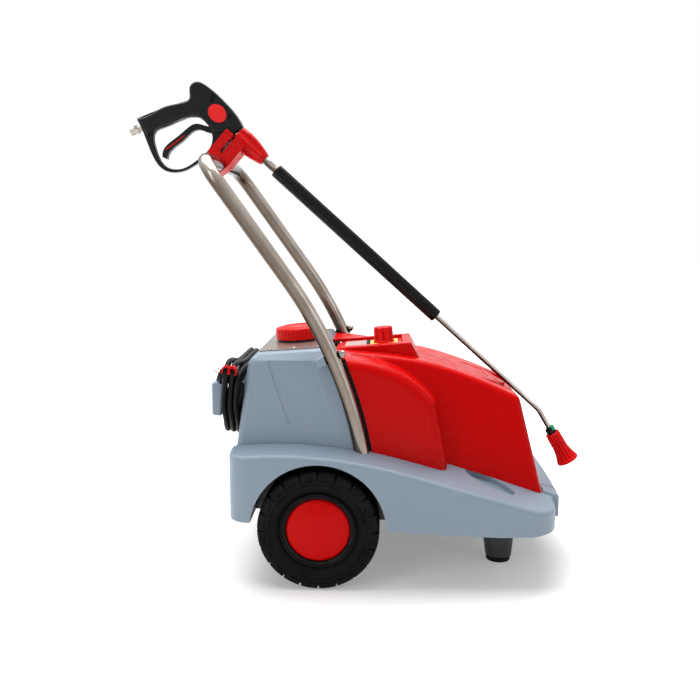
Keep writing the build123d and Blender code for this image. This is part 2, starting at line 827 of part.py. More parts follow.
# Float valve: a riser stands on the tank's floor, with a hinged arm and a float.
float_pivot_height = 432.0
riser_radius = 9.0
valve_head_radius = 14.0
float_arm_length = 88.0
float_radius = 25.0
float_droop = 24.0  # degrees below level, with the tank empty
pivot_radius = 3.0
float_x, float_y = float_place
pivot_x = float_x + valve_head_radius + 8.0

with BuildPart() as float_valve:
    with BuildSketch(Plane.XY.offset(tank_foot + tank_wall)):
        with Locations(float_place):
            Circle(port_radius + 6)
    extrude(amount=5)
    with BuildSketch(Plane.XY.offset(tray_height)):
        with Locations(float_place):
            Circle(riser_radius)
    extrude(amount=float_pivot_height - 12 - tray_height)
    with BuildSketch(Plane.XY.offset(float_pivot_height - 14)):
        with Locations(float_place):
            Circle(valve_head_radius)
    extrude(amount=26)
    with BuildSketch(Plane.XZ.offset(-float_y)):
        with Locations(((float_x + pivot_x) / 2 + 2, float_pivot_height)):
            Rectangle(pivot_x - float_x + 6, 12)
    extrude(amount=8, both=True)
    with BuildSketch(Plane.XZ.offset(-float_y)):
        with Locations((pivot_x + 4, float_pivot_height)):
            Rectangle(24, 40)
    extrude(amount=3.3, both=True, mode=Mode.SUBTRACT)
    with BuildSketch(Plane.XZ.offset(-float_y)):
        with Locations((pivot_x, float_pivot_height)):
            Circle(pivot_radius)
    extrude(amount=9, both=True)
finish(float_valve, "float_valve")

droop = radians(float_droop)
float_centre = (
    pivot_x + float_arm_length * cos(droop),
    float_y,
    float_pivot_height - float_arm_length * sin(droop),
)
with BuildPart() as float_arm:
    arm_plane = Plane(
        origin=(pivot_x, float_y, float_pivot_height),
        x_dir=(cos(droop), 0, -sin(droop)),
        z_dir=(0, -1, 0),
    )
    with BuildSketch(arm_plane):
        Circle(pivot_radius + 3.5)
        with Locations((float_arm_length / 2 - 12, 0)):
            Rectangle(float_arm_length - 24, 7)
        Circle(pivot_radius + shaft_fit, mode=Mode.SUBTRACT)
    extrude(amount=3, both=True)
    with BuildSketch(arm_plane):
        with BuildLine():
            ThreePointArc(
                (float_arm_length - float_radius, 0),
                (float_arm_length, float_radius),
                (float_arm_length + float_radius, 0),
            )
            Line((float_arm_length + float_radius, 0), (float_arm_length - float_radius, 0))
        make_face()
    revolve(axis=Axis(arm_plane.origin, arm_plane.x_dir))
finish(float_arm, "float_arm")

# ---------------------------------------------------------------------------
# Motor and pump on one axis in the tub, under the hood
# ---------------------------------------------------------------------------

motor_height = 252.0
motor_rear = 148.0
motor_front = 345.0
motor_radius = 84.0
motor_core_radius = 76.0
end_shield = 12.0
fin_count = 32
fin_thickness = 2.6
stator_bore = 45.0
stator_span = (195.0, 295.0)
rotor_gap = 0.7
bearing_bore = 10.0
winding_radius = 68.0
motor_foot_height = 163.0
motor_foot_width = 30.0
terminal_width = 70.0
terminal_length = 84.0
terminal_seat = 342.0
cowl_rear = 106.0
cowl_wall = 2.2
cowl_slots = 20
crankcase_front = 405.0
crankcase_radius = 65.0
head_front = 447.0
head_half = 50.0
swash_radius = 38.0
port_height = 215.0
outlet_y = -90.0
suction_y = 100.0
valve_cap_radius = 13.0
shaft_rear = cowl_rear + 12.0
swash_front = 382.0

motor_end = Plane(origin=(0, 0, motor_height), x_dir=(0, 1, 0), z_dir=(1, 0, 0))


def turned(profile):
    """A solid turned about the motor's axis from points given as distance along it and radius."""
    with BuildPart() as body:
        with BuildSketch(Plane.XZ):
            with BuildLine():
                Polyline(*[(x, motor_height + radius) for x, radius in profile], close=True)
            make_face()
        revolve(axis=Axis((0, 0, motor_height), (1, 0, 0)))
    return body


with BuildPart() as motor_housing:
    add(turned((
        (motor_rear, bearing_bore),
        (motor_rear, motor_radius - cowl_wall - seam),
        (motor_rear + end_shield, motor_radius - cowl_wall - seam),
        (motor_rear + end_shield, motor_core_radius),
        (motor_front - end_shield, motor_core_radius),
        (motor_front - end_shield, motor_radius),
        (motor_front, motor_radius),
        (motor_front, bearing_bore),
        (motor_front - end_shield, bearing_bore),
        (motor_front - end_shield, winding_radius),
        (stator_span[1], winding_radius),
        (stator_span[1], stator_bore),
        (stator_span[0], stator_bore),
        (stator_span[0], winding_radius),
        (motor_rear + end_shield, winding_radius),
        (motor_rear + end_shield, bearing_bore),
    )).part)
    with BuildSketch(motor_end.offset(motor_rear + end_shield)):
        with PolarLocations((motor_core_radius + motor_radius) / 2 - 1, fin_count):
            Rectangle(motor_radius - motor_core_radius + 2, fin_thickness)
    extrude(amount=motor_front - motor_rear - 2 * end_shield)
    for side in (-1, 1):
        with BuildSketch(Plane(origin=(motor_middle, side * mount_spacing[1], motor_foot_height))):
            Rectangle(140, motor_foot_width)
        extrude(amount=8)
        with BuildSketch(Plane(origin=(motor_middle, side * (mount_spacing[1] - 14), motor_foot_height))):
            Rectangle(100, 12)
        extrude(amount=40)
    with BuildSketch(Plane(origin=(motor_middle, 0, motor_height + motor_core_radius - 4), z_dir=(0, 0, 1))):
        Rectangle(terminal_length, terminal_width)
    extrude(amount=terminal_seat - motor_height - motor_core_radius + 4)
    with Locations(*[
        Location((motor_middle + along, side * mount_spacing[1], motor_foot_height + 8))
        for along in (-mount_spacing[0], mount_spacing[0]) for side in (-1, 1)
    ]):
        Hole(mount_stud + bolt_clearance, depth=8)
finish(motor_housing, "motor_housing")

with BuildPart() as motor_shaft:
    add(turned((
        (shaft_rear, 0),
        (shaft_rear, bearing_bore - shaft_fit),
        (stator_span[0] + 2, bearing_bore - shaft_fit),
        (stator_span[0] + 2, stator_bore - rotor_gap),
        (stator_span[1] - 2, stator_bore - rotor_gap),
        (stator_span[1] - 2, bearing_bore - shaft_fit),
        (motor_front + 12, bearing_bore - shaft_fit),
        (motor_front + 12, swash_radius),
        (swash_front - 8, swash_radius),
        (swash_front, swash_radius - 8),
        (swash_front, 0),
    )).part)
    with BuildSketch(motor_end.offset(shaft_rear)):
        Circle(26)
        with PolarLocations(42, 9):
            Rectangle(40, 3, rotation=25)
    extrude(amount=18)
    with BuildSketch(motor_end.offset(shaft_rear + 15)):
        Circle(62)
    extrude(amount=3)
finish(motor_shaft, "motor_shaft")

with BuildPart() as fan_cowl:
    with BuildSketch(motor_end.offset(cowl_rear)):
        Circle(motor_radius)
    extrude(amount=motor_rear + end_shield - cowl_rear)
    fillet(fan_cowl.edges().group_by(Axis.X)[0], 4)
    with BuildSketch(motor_end.offset(cowl_rear + cowl_wall)):
        Circle(motor_radius - cowl_wall)
    extrude(amount=motor_rear + end_shield - cowl_rear, mode=Mode.SUBTRACT)
    with BuildSketch(motor_end.offset(cowl_rear)):
        for ring, count in ((24, cowl_slots // 2), (44, cowl_slots), (64, cowl_slots)):
            with PolarLocations(ring, count):
                RectangleRounded(15, 5, 2)
    extrude(amount=cowl_wall, mode=Mode.SUBTRACT)
finish(fan_cowl, "fan_cowl")

with BuildPart() as terminal_box:
    with BuildSketch(Plane(origin=(motor_middle, 0, terminal_seat), z_dir=(0, 0, 1))):
        RectangleRounded(terminal_length, terminal_width, 6)
    extrude(amount=38)
    fillet(terminal_box.edges().group_by(Axis.Z)[-1], 4)
    terminal_rear = (motor_middle - terminal_length / 2, 0, terminal_seat + 18)
    with BuildSketch(Plane(origin=terminal_rear, x_dir=(0, 1, 0), z_dir=(-1, 0, 0))):
        with Locations((-16, 0), (16, 0)):
            RegularPolygon(9, 6)
    extrude(amount=12)
finish(terminal_box, "terminal_box")

with BuildPart() as motor_mounts:
    for along in (-mount_spacing[0], mount_spacing[0]):
        for side in (-1, 1):
            place = (motor_middle + along, side * mount_spacing[1])
            plate_underside = subframe_top - plate_thickness
            with BuildSketch(Plane.XY.offset(tub_floor)):
                with Locations(place):
                    Circle(mount_radius)
            extrude(amount=motor_foot_height - tub_floor)
            with BuildSketch(Plane.XY.offset(plate_underside - 8)):
                with Locations(place):
                    Circle(mount_stud)
            extrude(amount=motor_foot_height + 14 - plate_underside + 8)
            with BuildSketch(Plane.XY.offset(motor_foot_height + 8)):
                with Locations(place):
                    RegularPolygon(1.7 * mount_stud, 6)
            extrude(amount=5)
            with BuildSketch(Plane.XY.offset(plate_underside)):
                with Locations(place):
                    RegularPolygon(1.7 * mount_stud, 6)
            extrude(amount=-5)
finish(motor_mounts, "motor_mounts")

with BuildPart() as pump_crankcase:
    add(turned((
        (motor_front, bearing_bore),
        (motor_front, crankcase_radius + 8),
        (motor_front + 8, crankcase_radius + 8),
        (motor_front + 8, crankcase_radius),
        (crankcase_front, crankcase_radius),
        (crankcase_front, 0),
        (crankcase_front - 14, 0),
        (crankcase_front - 14, crankcase_radius - 10),
        (motor_front + 8, crankcase_radius - 10),
        (motor_front + 8, bearing_bore),
    )).part)
    with BuildSketch(motor_end.offset(motor_front + 8)):
        with PolarLocations(crankcase_radius, 12):
            Rectangle(10, 5)
    extrude(amount=crankcase_front - motor_front - 16)
finish(pump_crankcase, "pump_crankcase")

with BuildPart() as pump_head:
    with BuildSketch(motor_end.offset(crankcase_front)):
        RectangleRounded(2 * head_half, 2 * head_half, 16)
    extrude(amount=head_front - crankcase_front)
    fillet(pump_head.edges().group_by(Axis.X)[-1], 4)
    with BuildSketch(motor_end.offset(head_front)):
        with PolarLocations(27, 3, start_angle=30):
            RegularPolygon(valve_cap_radius, 6)
    extrude(amount=8)
    with BuildSketch(motor_end.offset(head_front)):
        with Locations((-40, -40), (-40, 40), (40, -40), (40, 40)):
            Circle(5.5)
    extrude(amount=6)
    # The suction elbow on the left side takes the hose from behind.
    left_port = (crankcase_front + 20, head_half, port_height)
    with BuildSketch(Plane(origin=left_port, x_dir=(1, 0, 0), z_dir=(0, 1, 0))):
        Circle(15)
    extrude(amount=suction_y - head_half + 12)
    with BuildSketch(motor_end.offset(crankcase_front - 6)):
        with Locations((suction_y, port_height - motor_height)):
            Circle(15)
    extrude(amount=26)
finish(pump_head, "pump_head")

with BuildPart() as unloader_valve:
    right_port = (crankcase_front + 20, -head_half, port_height)
    with BuildSketch(Plane(origin=right_port, x_dir=(1, 0, 0), z_dir=(0, -1, 0))):
        RectangleRounded(30, 30, 4)
    extrude(amount=-outlet_y - head_half + 14)
    with BuildSketch(Plane(origin=(crankcase_front + 20, outlet_y, port_height + 15), z_dir=(0, 0, 1))):
        Circle(13)
    extrude(amount=34)
    with BuildSketch(Plane(origin=(crankcase_front + 20, outlet_y, port_height + 49), z_dir=(0, 0, 1))):
        Circle(10)
    extrude(amount=14)
    with BuildSketch(motor_end.offset(crankcase_front - 6)):
        with Locations((outlet_y, port_height - motor_height)):
            RegularPolygon(13, 6)
    extrude(amount=12)
finish(unloader_valve, "unloader_valve")

# ---------------------------------------------------------------------------
# Water connections between the rear wall, the tank and the pump
# ---------------------------------------------------------------------------

inlet_y = 90.0
coupling_radius = 13.2
coupling_flange = 20.0
suction_hose_radius = 12.0
inlet_hose_radius = 10.0
pipe_radius = 7.0
hose_end = chassis_rear + 14.0
hose_bend = 30.0
port_ends = crankcase_front - 6.0
strainer_height = 34.0

coupling_hex = 6.0
coupling_length = 19.0
rear_wall = Plane(origin=(chassis_rear, 0, port_height), x_dir=(0, -1, 0), z_dir=(-1, 0, 0))

with BuildPart() as hose_couplings:
    for y in (inlet_y, outlet_y):
        with BuildSketch(rear_wall):
            with Locations((-y, 0)):
                RegularPolygon(coupling_flange, 6)
        extrude(amount=coupling_hex)
        with BuildSketch(rear_wall.offset(coupling_hex)):
            with Locations((-y, 0)):
                Circle(coupling_radius)
        extrude(amount=coupling_length)
        with BuildSketch(rear_wall):
            with Locations((-y, 0)):
                Circle(coupling_radius - bolt_clearance)
        extrude(amount=-14)
        with BuildSketch(rear_wall.offset(coupling_hex + coupling_length)):
            with Locations((-y, 0)):
                Circle(coupling_radius - 5)
        extrude(amount=-coupling_hex - coupling_length, mode=Mode.SUBTRACT)
finish(hose_couplings, "hose_couplings")

with BuildPart() as water_hoses:
    with BuildLine():
        FilletPolyline(
            (hose_end, inlet_y, port_height),
            (float_x, float_y, port_height),
            (float_x, float_y, tray_height),
            radius=hose_bend,
        )
    with BuildSketch(Plane(origin=(hose_end, inlet_y, port_height), z_dir=(1, 0, 0))):
        Circle(inlet_hose_radius)
    sweep()
    suction_x, suction_side = suction_place
    with BuildLine():
        FilletPolyline(
            (suction_x, suction_side, tank_foot + tank_wall),
            (suction_x, suction_side, port_height),
            (port_ends, suction_y, port_height),
            radius=hose_bend,
        )
    with BuildSketch(Plane(origin=(suction_x, suction_side, tank_foot + tank_wall), z_dir=(0, 0, -1))):
        Circle(suction_hose_radius)
    sweep()
    # The strainer in the tank's outlet.
    with BuildSketch(Plane(origin=(suction_x, suction_side, tank_foot + tank_wall), z_dir=(0, 0, 1))):
        Circle(port_radius + 6)
    extrude(amount=4)
    with BuildSketch(Plane(origin=(suction_x, suction_side, tank_foot + tank_wall), z_dir=(0, 0, 1))):
        Circle(port_radius)
    extrude(amount=strainer_height)
finish(water_hoses, "water_hoses")

with BuildPart() as pressure_pipe:
    with BuildSketch(Plane(origin=(hose_end, outlet_y, port_height), z_dir=(1, 0, 0))):
        Circle(pipe_radius)
    extrude(amount=port_ends - hose_end)
finish(pressure_pipe, "pressure_pipe")

# ---------------------------------------------------------------------------
# Mains lead: gland, free tail, the wound coil on its lugs, plug and clip
# ---------------------------------------------------------------------------

cable_radius = 6.5
hook_y = 150.0
hook_stem = (350.0, 412.0)
hook_stem_width = 34.0
hook_flange_width = 56.0
hook_rear = -243.0
hook_flange_outline = ((hook_rear, 333), (-225, 329), (-212, 430), (hook_rear, 420))
coil_standoff = 2.0
coil_depth = 44.0
coil_outside = (297.0, 455.0)
coil_inside = (318.0, 421.0)
coil_half_width = 196.0
coil_hole_half_width = 174.0
coil_corner = 52.0
coil_tight_corner = 30.0
coil_hole_corner = 22.0
strand_rounding = 8.0
gland_x = -208.0
gland_span = (190.0, 218.0)
relief_length = 30.0
tail_points = ((gland_x, 0, 248), (gland_x, 0, 266), (-207.5, -5.2, 285.3), (-207, -14, 301))
tail_radius = 60.0

with BuildPart() as cable_hooks:
    for side in (-1, 1):
        low, high = hook_stem
        with BuildSketch(Plane.XZ.offset(-side * hook_y)):
            with BuildLine():
                Polyline(
                    (tank_rear(low), low),
                    (tank_rear(high), high),
                    (hook_rear + 12, high),
                    (hook_rear + 12, low),
                    close=True,
                )
            make_face()
        extrude(amount=hook_stem_width / 2, both=True)
        with BuildSketch(Plane.XZ.offset(-side * hook_y)):
            with BuildLine():
                Polyline(*hook_flange_outline, close=True)
            make_face()
            fillet(vertices(), 7)
        extrude(amount=hook_flange_width / 2, both=True)
    ends = cable_hooks.faces().filter_by(lambda face: abs(face.normal_at().Y) > 0.99)
    rims = [edge for face in ends for edge in face.edges() if edge.center().X < -214]
    fillet([edge for edge in rims if abs(abs(edge.center().Y) - hook_y) > 25], 5)
finish(cable_hooks, "cable_hooks")


def tank_rear_plane(out):
    """A plane along the tank's leaning rear wall, some way behind it."""
    lean = radians(tank_rear_lean)
    height = coil_outside[0]
    plane = Plane(origin=(tank_rear(height), 0, height), x_dir=(0, 1, 0), z_dir=(cos(lean), 0, -sin(lean)))
    return plane.offset(-out)


def beside_the_wall(height):
    """How far up the leaning wall a height lies."""
    return (height - coil_outside[0]) / cos(radians(tank_rear_lean))


plug_face = (-213.0, -182.0, 449.0)
plug_way = (0.86, -0.27, -0.44)
plug_rim_radius = 22.5
plug_rim = 9.0
plug_body_radius = 18.5
plug_body = 32.0
plug_neck_radius = 10.0
plug_length = 46.0
pin_radius = 2.4
pin_length = 19.0
pin_spacing = 19.0
plug_plane = Plane(origin=plug_face, x_dir=(0.27, 0.86, 0), z_dir=plug_way)


def plug_form(margin):
    """The plug's body and strain relief; the margin makes the room it takes."""
    with BuildPart() as form:
        with BuildSketch(plug_plane.offset(-margin)):
            Circle(plug_rim_radius + margin)
        extrude(amount=plug_rim + 2 * margin)
        with BuildSketch(plug_plane.offset(plug_rim)):
            Circle(plug_body_radius + margin)
        with BuildSketch(plug_plane.offset(plug_body)):
            Circle(plug_neck_radius + margin)
        loft()
        with BuildSketch(plug_plane.offset(plug_body)):
            Circle(plug_neck_radius + margin)
        with BuildSketch(plug_plane.offset(plug_length)):
            Circle(cable_radius + 1 + margin)
        loft()
    return form


with BuildPart() as plug:
    add(plug_form(0).part)
    with BuildSketch(plug_plane):
        Circle(plug_rim_radius - 3)
        with Locations((pin_spacing / 2, 0), (-pin_spacing / 2, 0)):
            Circle(pin_radius + 2, mode=Mode.SUBTRACT)
    extrude(amount=1.5, mode=Mode.SUBTRACT)
finish(plug, "plug")

with BuildPart() as plug_pins:
    with BuildSketch(plug_plane):
        with Locations((pin_spacing / 2, 0), (-pin_spacing / 2, 0)):
            Circle(pin_radius)
    extrude(amount=-pin_length)
    fillet(plug_pins.edges().sort_by(Axis(plug_face, plug_way))[:2], 1.2)
finish(plug_pins, "plug_pins")

with BuildPart() as cord_coil:
    with BuildSketch(tank_rear_plane(coil_standoff + coil_depth)):
        low, high = [beside_the_wall(height) for height in coil_outside]
        with Locations((0, (low + high) / 2)):
            Rectangle(2 * coil_half_width, high - low)
        corners = vertices().sort_by(Axis.X)
        near_top = corners[:2].sort_by(Axis.Y)[-1]
        fillet([corner for corner in corners if corner != near_top], coil_corner)
        fillet(vertices().sort_by(Axis.Y)[-2:].sort_by(Axis.X)[0], coil_tight_corner)
    extrude(amount=coil_depth)
    with BuildSketch(tank_rear_plane(coil_standoff + coil_depth)):
        low, high = [beside_the_wall(height) for height in coil_inside]
        with Locations((0, (low + high) / 2)):
            RectangleRounded(2 * coil_hole_half_width, high - low, coil_hole_corner)
    extrude(amount=coil_depth, mode=Mode.SUBTRACT)
    flat = cord_coil.faces().filter_by(lambda face: abs(face.normal_at().X) > 0.9)
    fillet([edge for face in flat for edge in face.edges()], strand_rounding)
    add(plug_form(seam).part, mode=Mode.SUBTRACT)
finish(cord_coil, "cord_coil")

with BuildPart() as cord_gland:
    with BuildSketch(Plane.XY.offset(gland_span[0])):
        with Locations(((chassis_rear + gland_x - 11) / 2, 0)):
            RectangleRounded(chassis_rear - gland_x + 11, 30, 4)
    extrude(amount=gland_span[1] - gland_span[0])
    with BuildSketch(Plane.XY.offset(gland_span[1])):
        with Locations((gland_x, 0)):
            Circle(8)
    with BuildSketch(Plane.XY.offset(gland_span[1] + relief_length)):
        with Locations((gland_x, 0)):
            Circle(cable_radius + 0.5)
    loft()
finish(cord_gland, "cord_gland")

with BuildPart() as cord_tail:
    with BuildLine() as tail_path:
        FilletPolyline(*tail_points, radius=tail_radius)
    with BuildSketch(Plane(origin=tail_points[0], z_dir=(0, 0, 1))):
        Circle(cable_radius)
    sweep()
finish(cord_tail, "cord_tail")

clip_width = 26.0
clip_thickness = 4.0
clip_start = 90.0  # degrees round the coil's tight corner
clip_sweep = 34.0
clip_reach = coil_tight_corner + seam


def clip_corner(radius, turn):
    """A point about the coil's tight corner, in the coil's own plane."""
    return (
        coil_tight_corner - coil_half_width + radius * cos(radians(turn)),
        beside_the_wall(coil_outside[1]) - coil_tight_corner + radius * sin(radians(turn)),
    )


with BuildPart() as cord_clip:
    with BuildSketch(tank_rear_plane(coil_standoff + clip_width)):
        with BuildLine():
            CenterArc(clip_corner(0, 0), clip_reach + clip_thickness, clip_start, clip_sweep)
            CenterArc(clip_corner(0, 0), clip_reach, clip_start, clip_sweep)
            for turn in (clip_start, clip_start + clip_sweep):
                Line(clip_corner(clip_reach, turn), clip_corner(clip_reach + clip_thickness, turn))
        make_face()
    extrude(amount=clip_width)
finish(cord_clip, "cord_clip")

# ---------------------------------------------------------------------------
# Hood: nose, two side pods and the console, in one thin shell open below and behind
# ---------------------------------------------------------------------------

hood_bottom = 100.0
hood_rear = 0.0
nose_foot_level = 180.0
nose_corner_fillet = 18.0
hood_crown = ((hood_rear, 488), (131, 480), (221, 468), (329, 436), (437, 391), (500, 362))
pod_crown = ((hood_rear, 488), (121, 474), (165, 458), (210, 431), (248, 394), (275, 352))
pod_front_foot = 279.0
pod_front_level = 238.0
pod_top_half_width = 203.0
pod_bottom_half_width = 210.0
pod_corner_fillet = 26.0
console_rear_height = 488.0
console_top = (197.0, 504.0)
console_foot = (224.0, 455.0)
console_edge_radius = 4.5
console_base = 425.0
trough_front = 176.0
strip_width = 6.0
hood_edge_radius_about_handle = handle_arc_radius + tube_radius + strip_width + 2 * seam
hood_rear_radius = handle_arc_radius - tube_radius
jog_half_width = handle_half_width - tube_radius - 5.0


def cross_section_width(z):
    """Half the hood's width at a height: its sides lean in."""
    return hood_foot_half_width + (tub_floor + 60 - z) * tan(radians(hood_draft))


def set_in(points, inset):
    """A line's points moved square to it, down and inwards."""
    moved = []
    for index, (x, z) in enumerate(points):
        before, after = points[max(index - 1, 0)], points[min(index + 1, len(points) - 1)]
        run, rise = after[0] - before[0], after[1] - before[1]
        length = sqrt(run**2 + rise**2)
        moved.append((x + inset * rise / length, z - inset * run / length))
    return moved


def side_outline(crown, front_foot, inset, corner_radius):
    """A hollow-backed form's outline from the side: under its crown and behind its sloping front."""
    (top_x, top_z), (foot_x, foot_z) = crown[-2], front_foot
    fall = (foot_x - top_x) / (top_z - foot_z)
    setback = inset * sqrt(1 + fall**2)
    line = set_in(crown, inset)
    rear = hood_rear + inset
    with BuildSketch() as outline:
        with BuildLine():
            Spline(*line)
            Polyline(line[-1], (line[-1][0], hood_bottom + inset), (line[0][0], hood_bottom + inset), line[0])
        make_face()
        Polygon(
            (rear, 0),
            (top_x + top_z * fall - setback, 0),
            (top_x + (top_z - 600) * fall - setback, 600),
            (rear, 600),
            align=None,
            mode=Mode.INTERSECT,
        )
        corner = vertices().filter_by(lambda vertex: vertex.Y > foot_z).sort_by(Axis.X)[-1]
        fillet(corner, corner_radius - inset)
    return outline.sketch


def nose_block(inset):
    with BuildPart() as block:
        with BuildSketch(Plane.XZ):
            add(side_outline(hood_crown, (hood_nose_foot, nose_foot_level), inset, nose_corner_fillet))
        extrude(amount=2 * hood_foot_half_width, both=True)
        with BuildSketch(Plane.YZ):
            with BuildLine():
                low, high = cross_section_width(hood_bottom), cross_section_width(540)
                Polyline((-low, hood_bottom), (-high, 540), (high, 540), (low, hood_bottom), close=True)
            make_face()
            if inset:
                offset(amount=-inset, kind=Kind.INTERSECTION, mode=Mode.REPLACE)
        extrude(amount=700, both=True, mode=Mode.INTERSECT)
        sides = block.faces().filter_by(lambda face: abs(face.normal_at().Y) > 0.9)
        rim = [edge for face in sides for edge in face.edges()]
        rim = [edge for edge in rim if edge.center().X > 20 and edge.center().Z > hood_bottom + 20]
        fillet(rim, hood_edge_radius - inset)
    return block


def pod_block(side, inset):
    with BuildPart() as block:
        with BuildSketch(Plane.XZ):
            add(side_outline(pod_crown, (pod_front_foot, pod_front_level), inset, pod_corner_fillet))
        extrude(amount=2 * pod_half_width, both=True)
        with BuildSketch(Plane.YZ):
            with BuildLine():
                Polyline(
                    (side * (pod_bottom_half_width - inset), hood_bottom),
                    (side * (pod_top_half_width - inset), 540),
                    (side * 40, 540),
                    (side * 40, hood_bottom),
                    close=True,
                )
            make_face()
        extrude(amount=500, both=True, mode=Mode.INTERSECT)
        outer = block.faces().sort_by(lambda face: side * face.center().Y)[-1]
        rim = [edge for edge in outer.edges() if edge.center().X > 20 and edge.center().Z > hood_bottom + 20]
        fillet(rim, pod_edge_radius - inset)
    return block


def console_block(inset, drop):
    top_slope = (console_top[1] - console_rear_height) / console_top[0]
    with BuildPart() as block:
        with BuildSketch(Plane.XZ):
            with BuildLine():
                Polyline(
                    (hood_rear, console_rear_height - drop),
                    (console_top[0] - inset - drop * 0.5, console_top[1] - drop),
                    (console_foot[0] - inset, console_foot[1]),
                    (console_foot[0] - inset, console_base),
                    (hood_rear, console_base),
                    close=True,
                )
            make_face()
        extrude(amount=console_half_width - inset, both=True)
        if not inset:
            crown = block.faces().filter_by(lambda face: face.normal_at().Z > 0.3)
            rim = [edge for face in crown for edge in face.edges() if edge.center().X > 20]
            fillet(rim, console_edge_radius)
    return block


def rear_of_hood(radius, half_width):
    """What lies behind an arc about the handle's own centre, from the middle out to both sides."""
    with BuildPart() as block:
        with BuildSketch(Plane.XZ):
            with Locations(handle_centre):
                Circle(radius)
        extrude(amount=half_width, both=True)
    return block


def console_surface(x, depth=0.0):
    """Height of the console's sloping top, or of a floor sunk below it."""
    return console_rear_height + x * (console_top[1] - console_rear_height) / console_top[0] - depth


console_tilt = degrees(atan2(console_top[1] - console_rear_height, console_top[0]))


def console_plane(x, depth):
    tilt = radians(console_tilt)
    return Plane(
        origin=(x, 0, console_surface(x, depth)),
        x_dir=(cos(tilt), 0, sin(tilt)),
        z_dir=(-sin(tilt), 0, cos(tilt)),
    )


knob_shaft_radius = 5.0
recess_step = ((354, 80), (393, 55), (420, 9), (420, -9), (393, -55), (354, -80))
recess_rear_floor = (356.0, 421.5)
recess_fall = 0.475  # drop per length towards the nose
recess_front = 520.0
sunk_panel_depth = 1.0
oval_centre = 347.0
oval_size = (34.0, 62.0)
pod_panel = (88.0, 158.0)
pod_panel_size = (46.0, 58.0)


def nose_recess(margin):
    """The sunk facet before the nose, where the lance comes down over it."""
    rear, height = recess_rear_floor
    with BuildPart() as recess:
        with BuildSketch(Plane.XY.offset(height - 200)):
            Polygon(*recess_step, (recess_front, -80), (recess_front, 80), align=None)
            if margin:
                offset(amount=margin, kind=Kind.INTERSECTION)
        extrude(amount=400)
        with BuildSketch(Plane.XZ):
            Polygon(
                (rear - 60, height + 60 * recess_fall - margin),
                (recess_front + 20, height - (recess_front + 20 - rear) * recess_fall - margin),
                (recess_front + 20, 0),
                (rear - 60, 0),
                align=None,
            )
        extrude(amount=120, both=True, mode=Mode.SUBTRACT)
    return recess


with BuildPart() as sunk_panels:
    with BuildSketch(Plane.XY.offset(tray_height)):
        with Locations((oval_centre, 0)):
            Ellipse(*oval_size)
    extrude(amount=300)
    add(nose_block(sunk_panel_depth).part, mode=Mode.SUBTRACT)
    for side in (-1, 1):
        with BuildPart() as panel:
            with BuildSketch(Plane.XY.offset(tray_height)):
                with Locations((pod_panel[0], side * pod_panel[1])):
                    RectangleRounded(*pod_panel_size, 9)
            extrude(amount=300)
            add(pod_block(side, sunk_panel_depth).part, mode=Mode.SUBTRACT)
            add(nose_block(0).part, mode=Mode.SUBTRACT)
        add(panel.part)

with BuildPart() as hood_core:
    add(nose_block(hood_wall).part)
    for side in (-1, 1):
        add(pod_block(side, hood_wall).part)
    add(console_block(hood_wall, console_trough_depth + hood_wall).part)
    add(nose_recess(hood_wall).part, mode=Mode.SUBTRACT)

with BuildPart() as hood:
    add(nose_block(0).part)
    for side in (-1, 1):
        add(pod_block(side, 0).part)
    add(nose_recess(0).part, mode=Mode.SUBTRACT)
    add(console_block(0, 0).part)
    add(sunk_panels.part, mode=Mode.SUBTRACT)
    add(hood_core.part, mode=Mode.SUBTRACT)
    # The console's trough, open to the rear.
    with BuildSketch(Plane.XZ):
        with BuildLine():
            Polyline(
                (hood_rear, console_surface(hood_rear, console_trough_depth)),
                (trough_front, console_surface(trough_front, console_trough_depth)),
                (trough_front + console_trough_depth, console_surface(trough_front) + 10),
                (hood_rear, console_surface(trough_front) + 10),
                close=True,
            )
        make_face()
    extrude(amount=console_trough_half_width, both=True, mode=Mode.SUBTRACT)
    with BuildSketch(console_plane(knob_x, console_trough_depth)):
        Circle(knob_shaft_radius + bolt_clearance)
    extrude(amount=-3 * hood_wall, mode=Mode.SUBTRACT)
    add(rear_of_hood(hood_rear_radius, pod_half_width + 10).part, mode=Mode.SUBTRACT)
    for side in (-1, 1):
        with BuildSketch(Plane.XZ.offset(-side * jog_half_width)):
            with Locations(handle_centre):
                Circle(hood_edge_radius_about_handle)
        extrude(amount=-side * 40, mode=Mode.SUBTRACT)
    add(deck_body(seam).part, mode=Mode.SUBTRACT)
finish(hood, "hood")

# A black strip fills the gap between each leg and the hood's rear edge.
seal_inner = jog_half_width + 4.0
seal_outer = pod_half_width - 2.0
seal_top = 476.0

with BuildPart() as hood_seal:
    for side in (-1, 1):
        with BuildSketch(Plane.XZ.offset(-side * seal_inner)):
            with Locations(handle_centre):
                Circle(handle_arc_radius + tube_radius + seam + strip_width)
                Circle(handle_arc_radius + tube_radius + seam, mode=Mode.SUBTRACT)
            with Locations((hood_rear + 60, (seal_top + tray_height - 40) / 2)):
                Rectangle(160, seal_top - tray_height + 40, mode=Mode.INTERSECT)
        extrude(amount=-side * (seal_outer - seal_inner))
    add(deck_body(seam).part, mode=Mode.SUBTRACT)
finish(hood_seal, "hood_seal")

# Console fittings: the plates in the trough, the knob, and the switch under it.
plate_thin = 1.5
knob_plate = (65.0, 80.0)
rear_plate = (50.0, 90.0)
rear_plate_x = 70.0
knob_slot = 8.0
knob_slot_depth = 12.0
knob_chamfer = 1.5
knob_shaft_length = 22.0
switch_size = 46.0
switch_depth = 44.0
knob_seat = plate_thin + seam

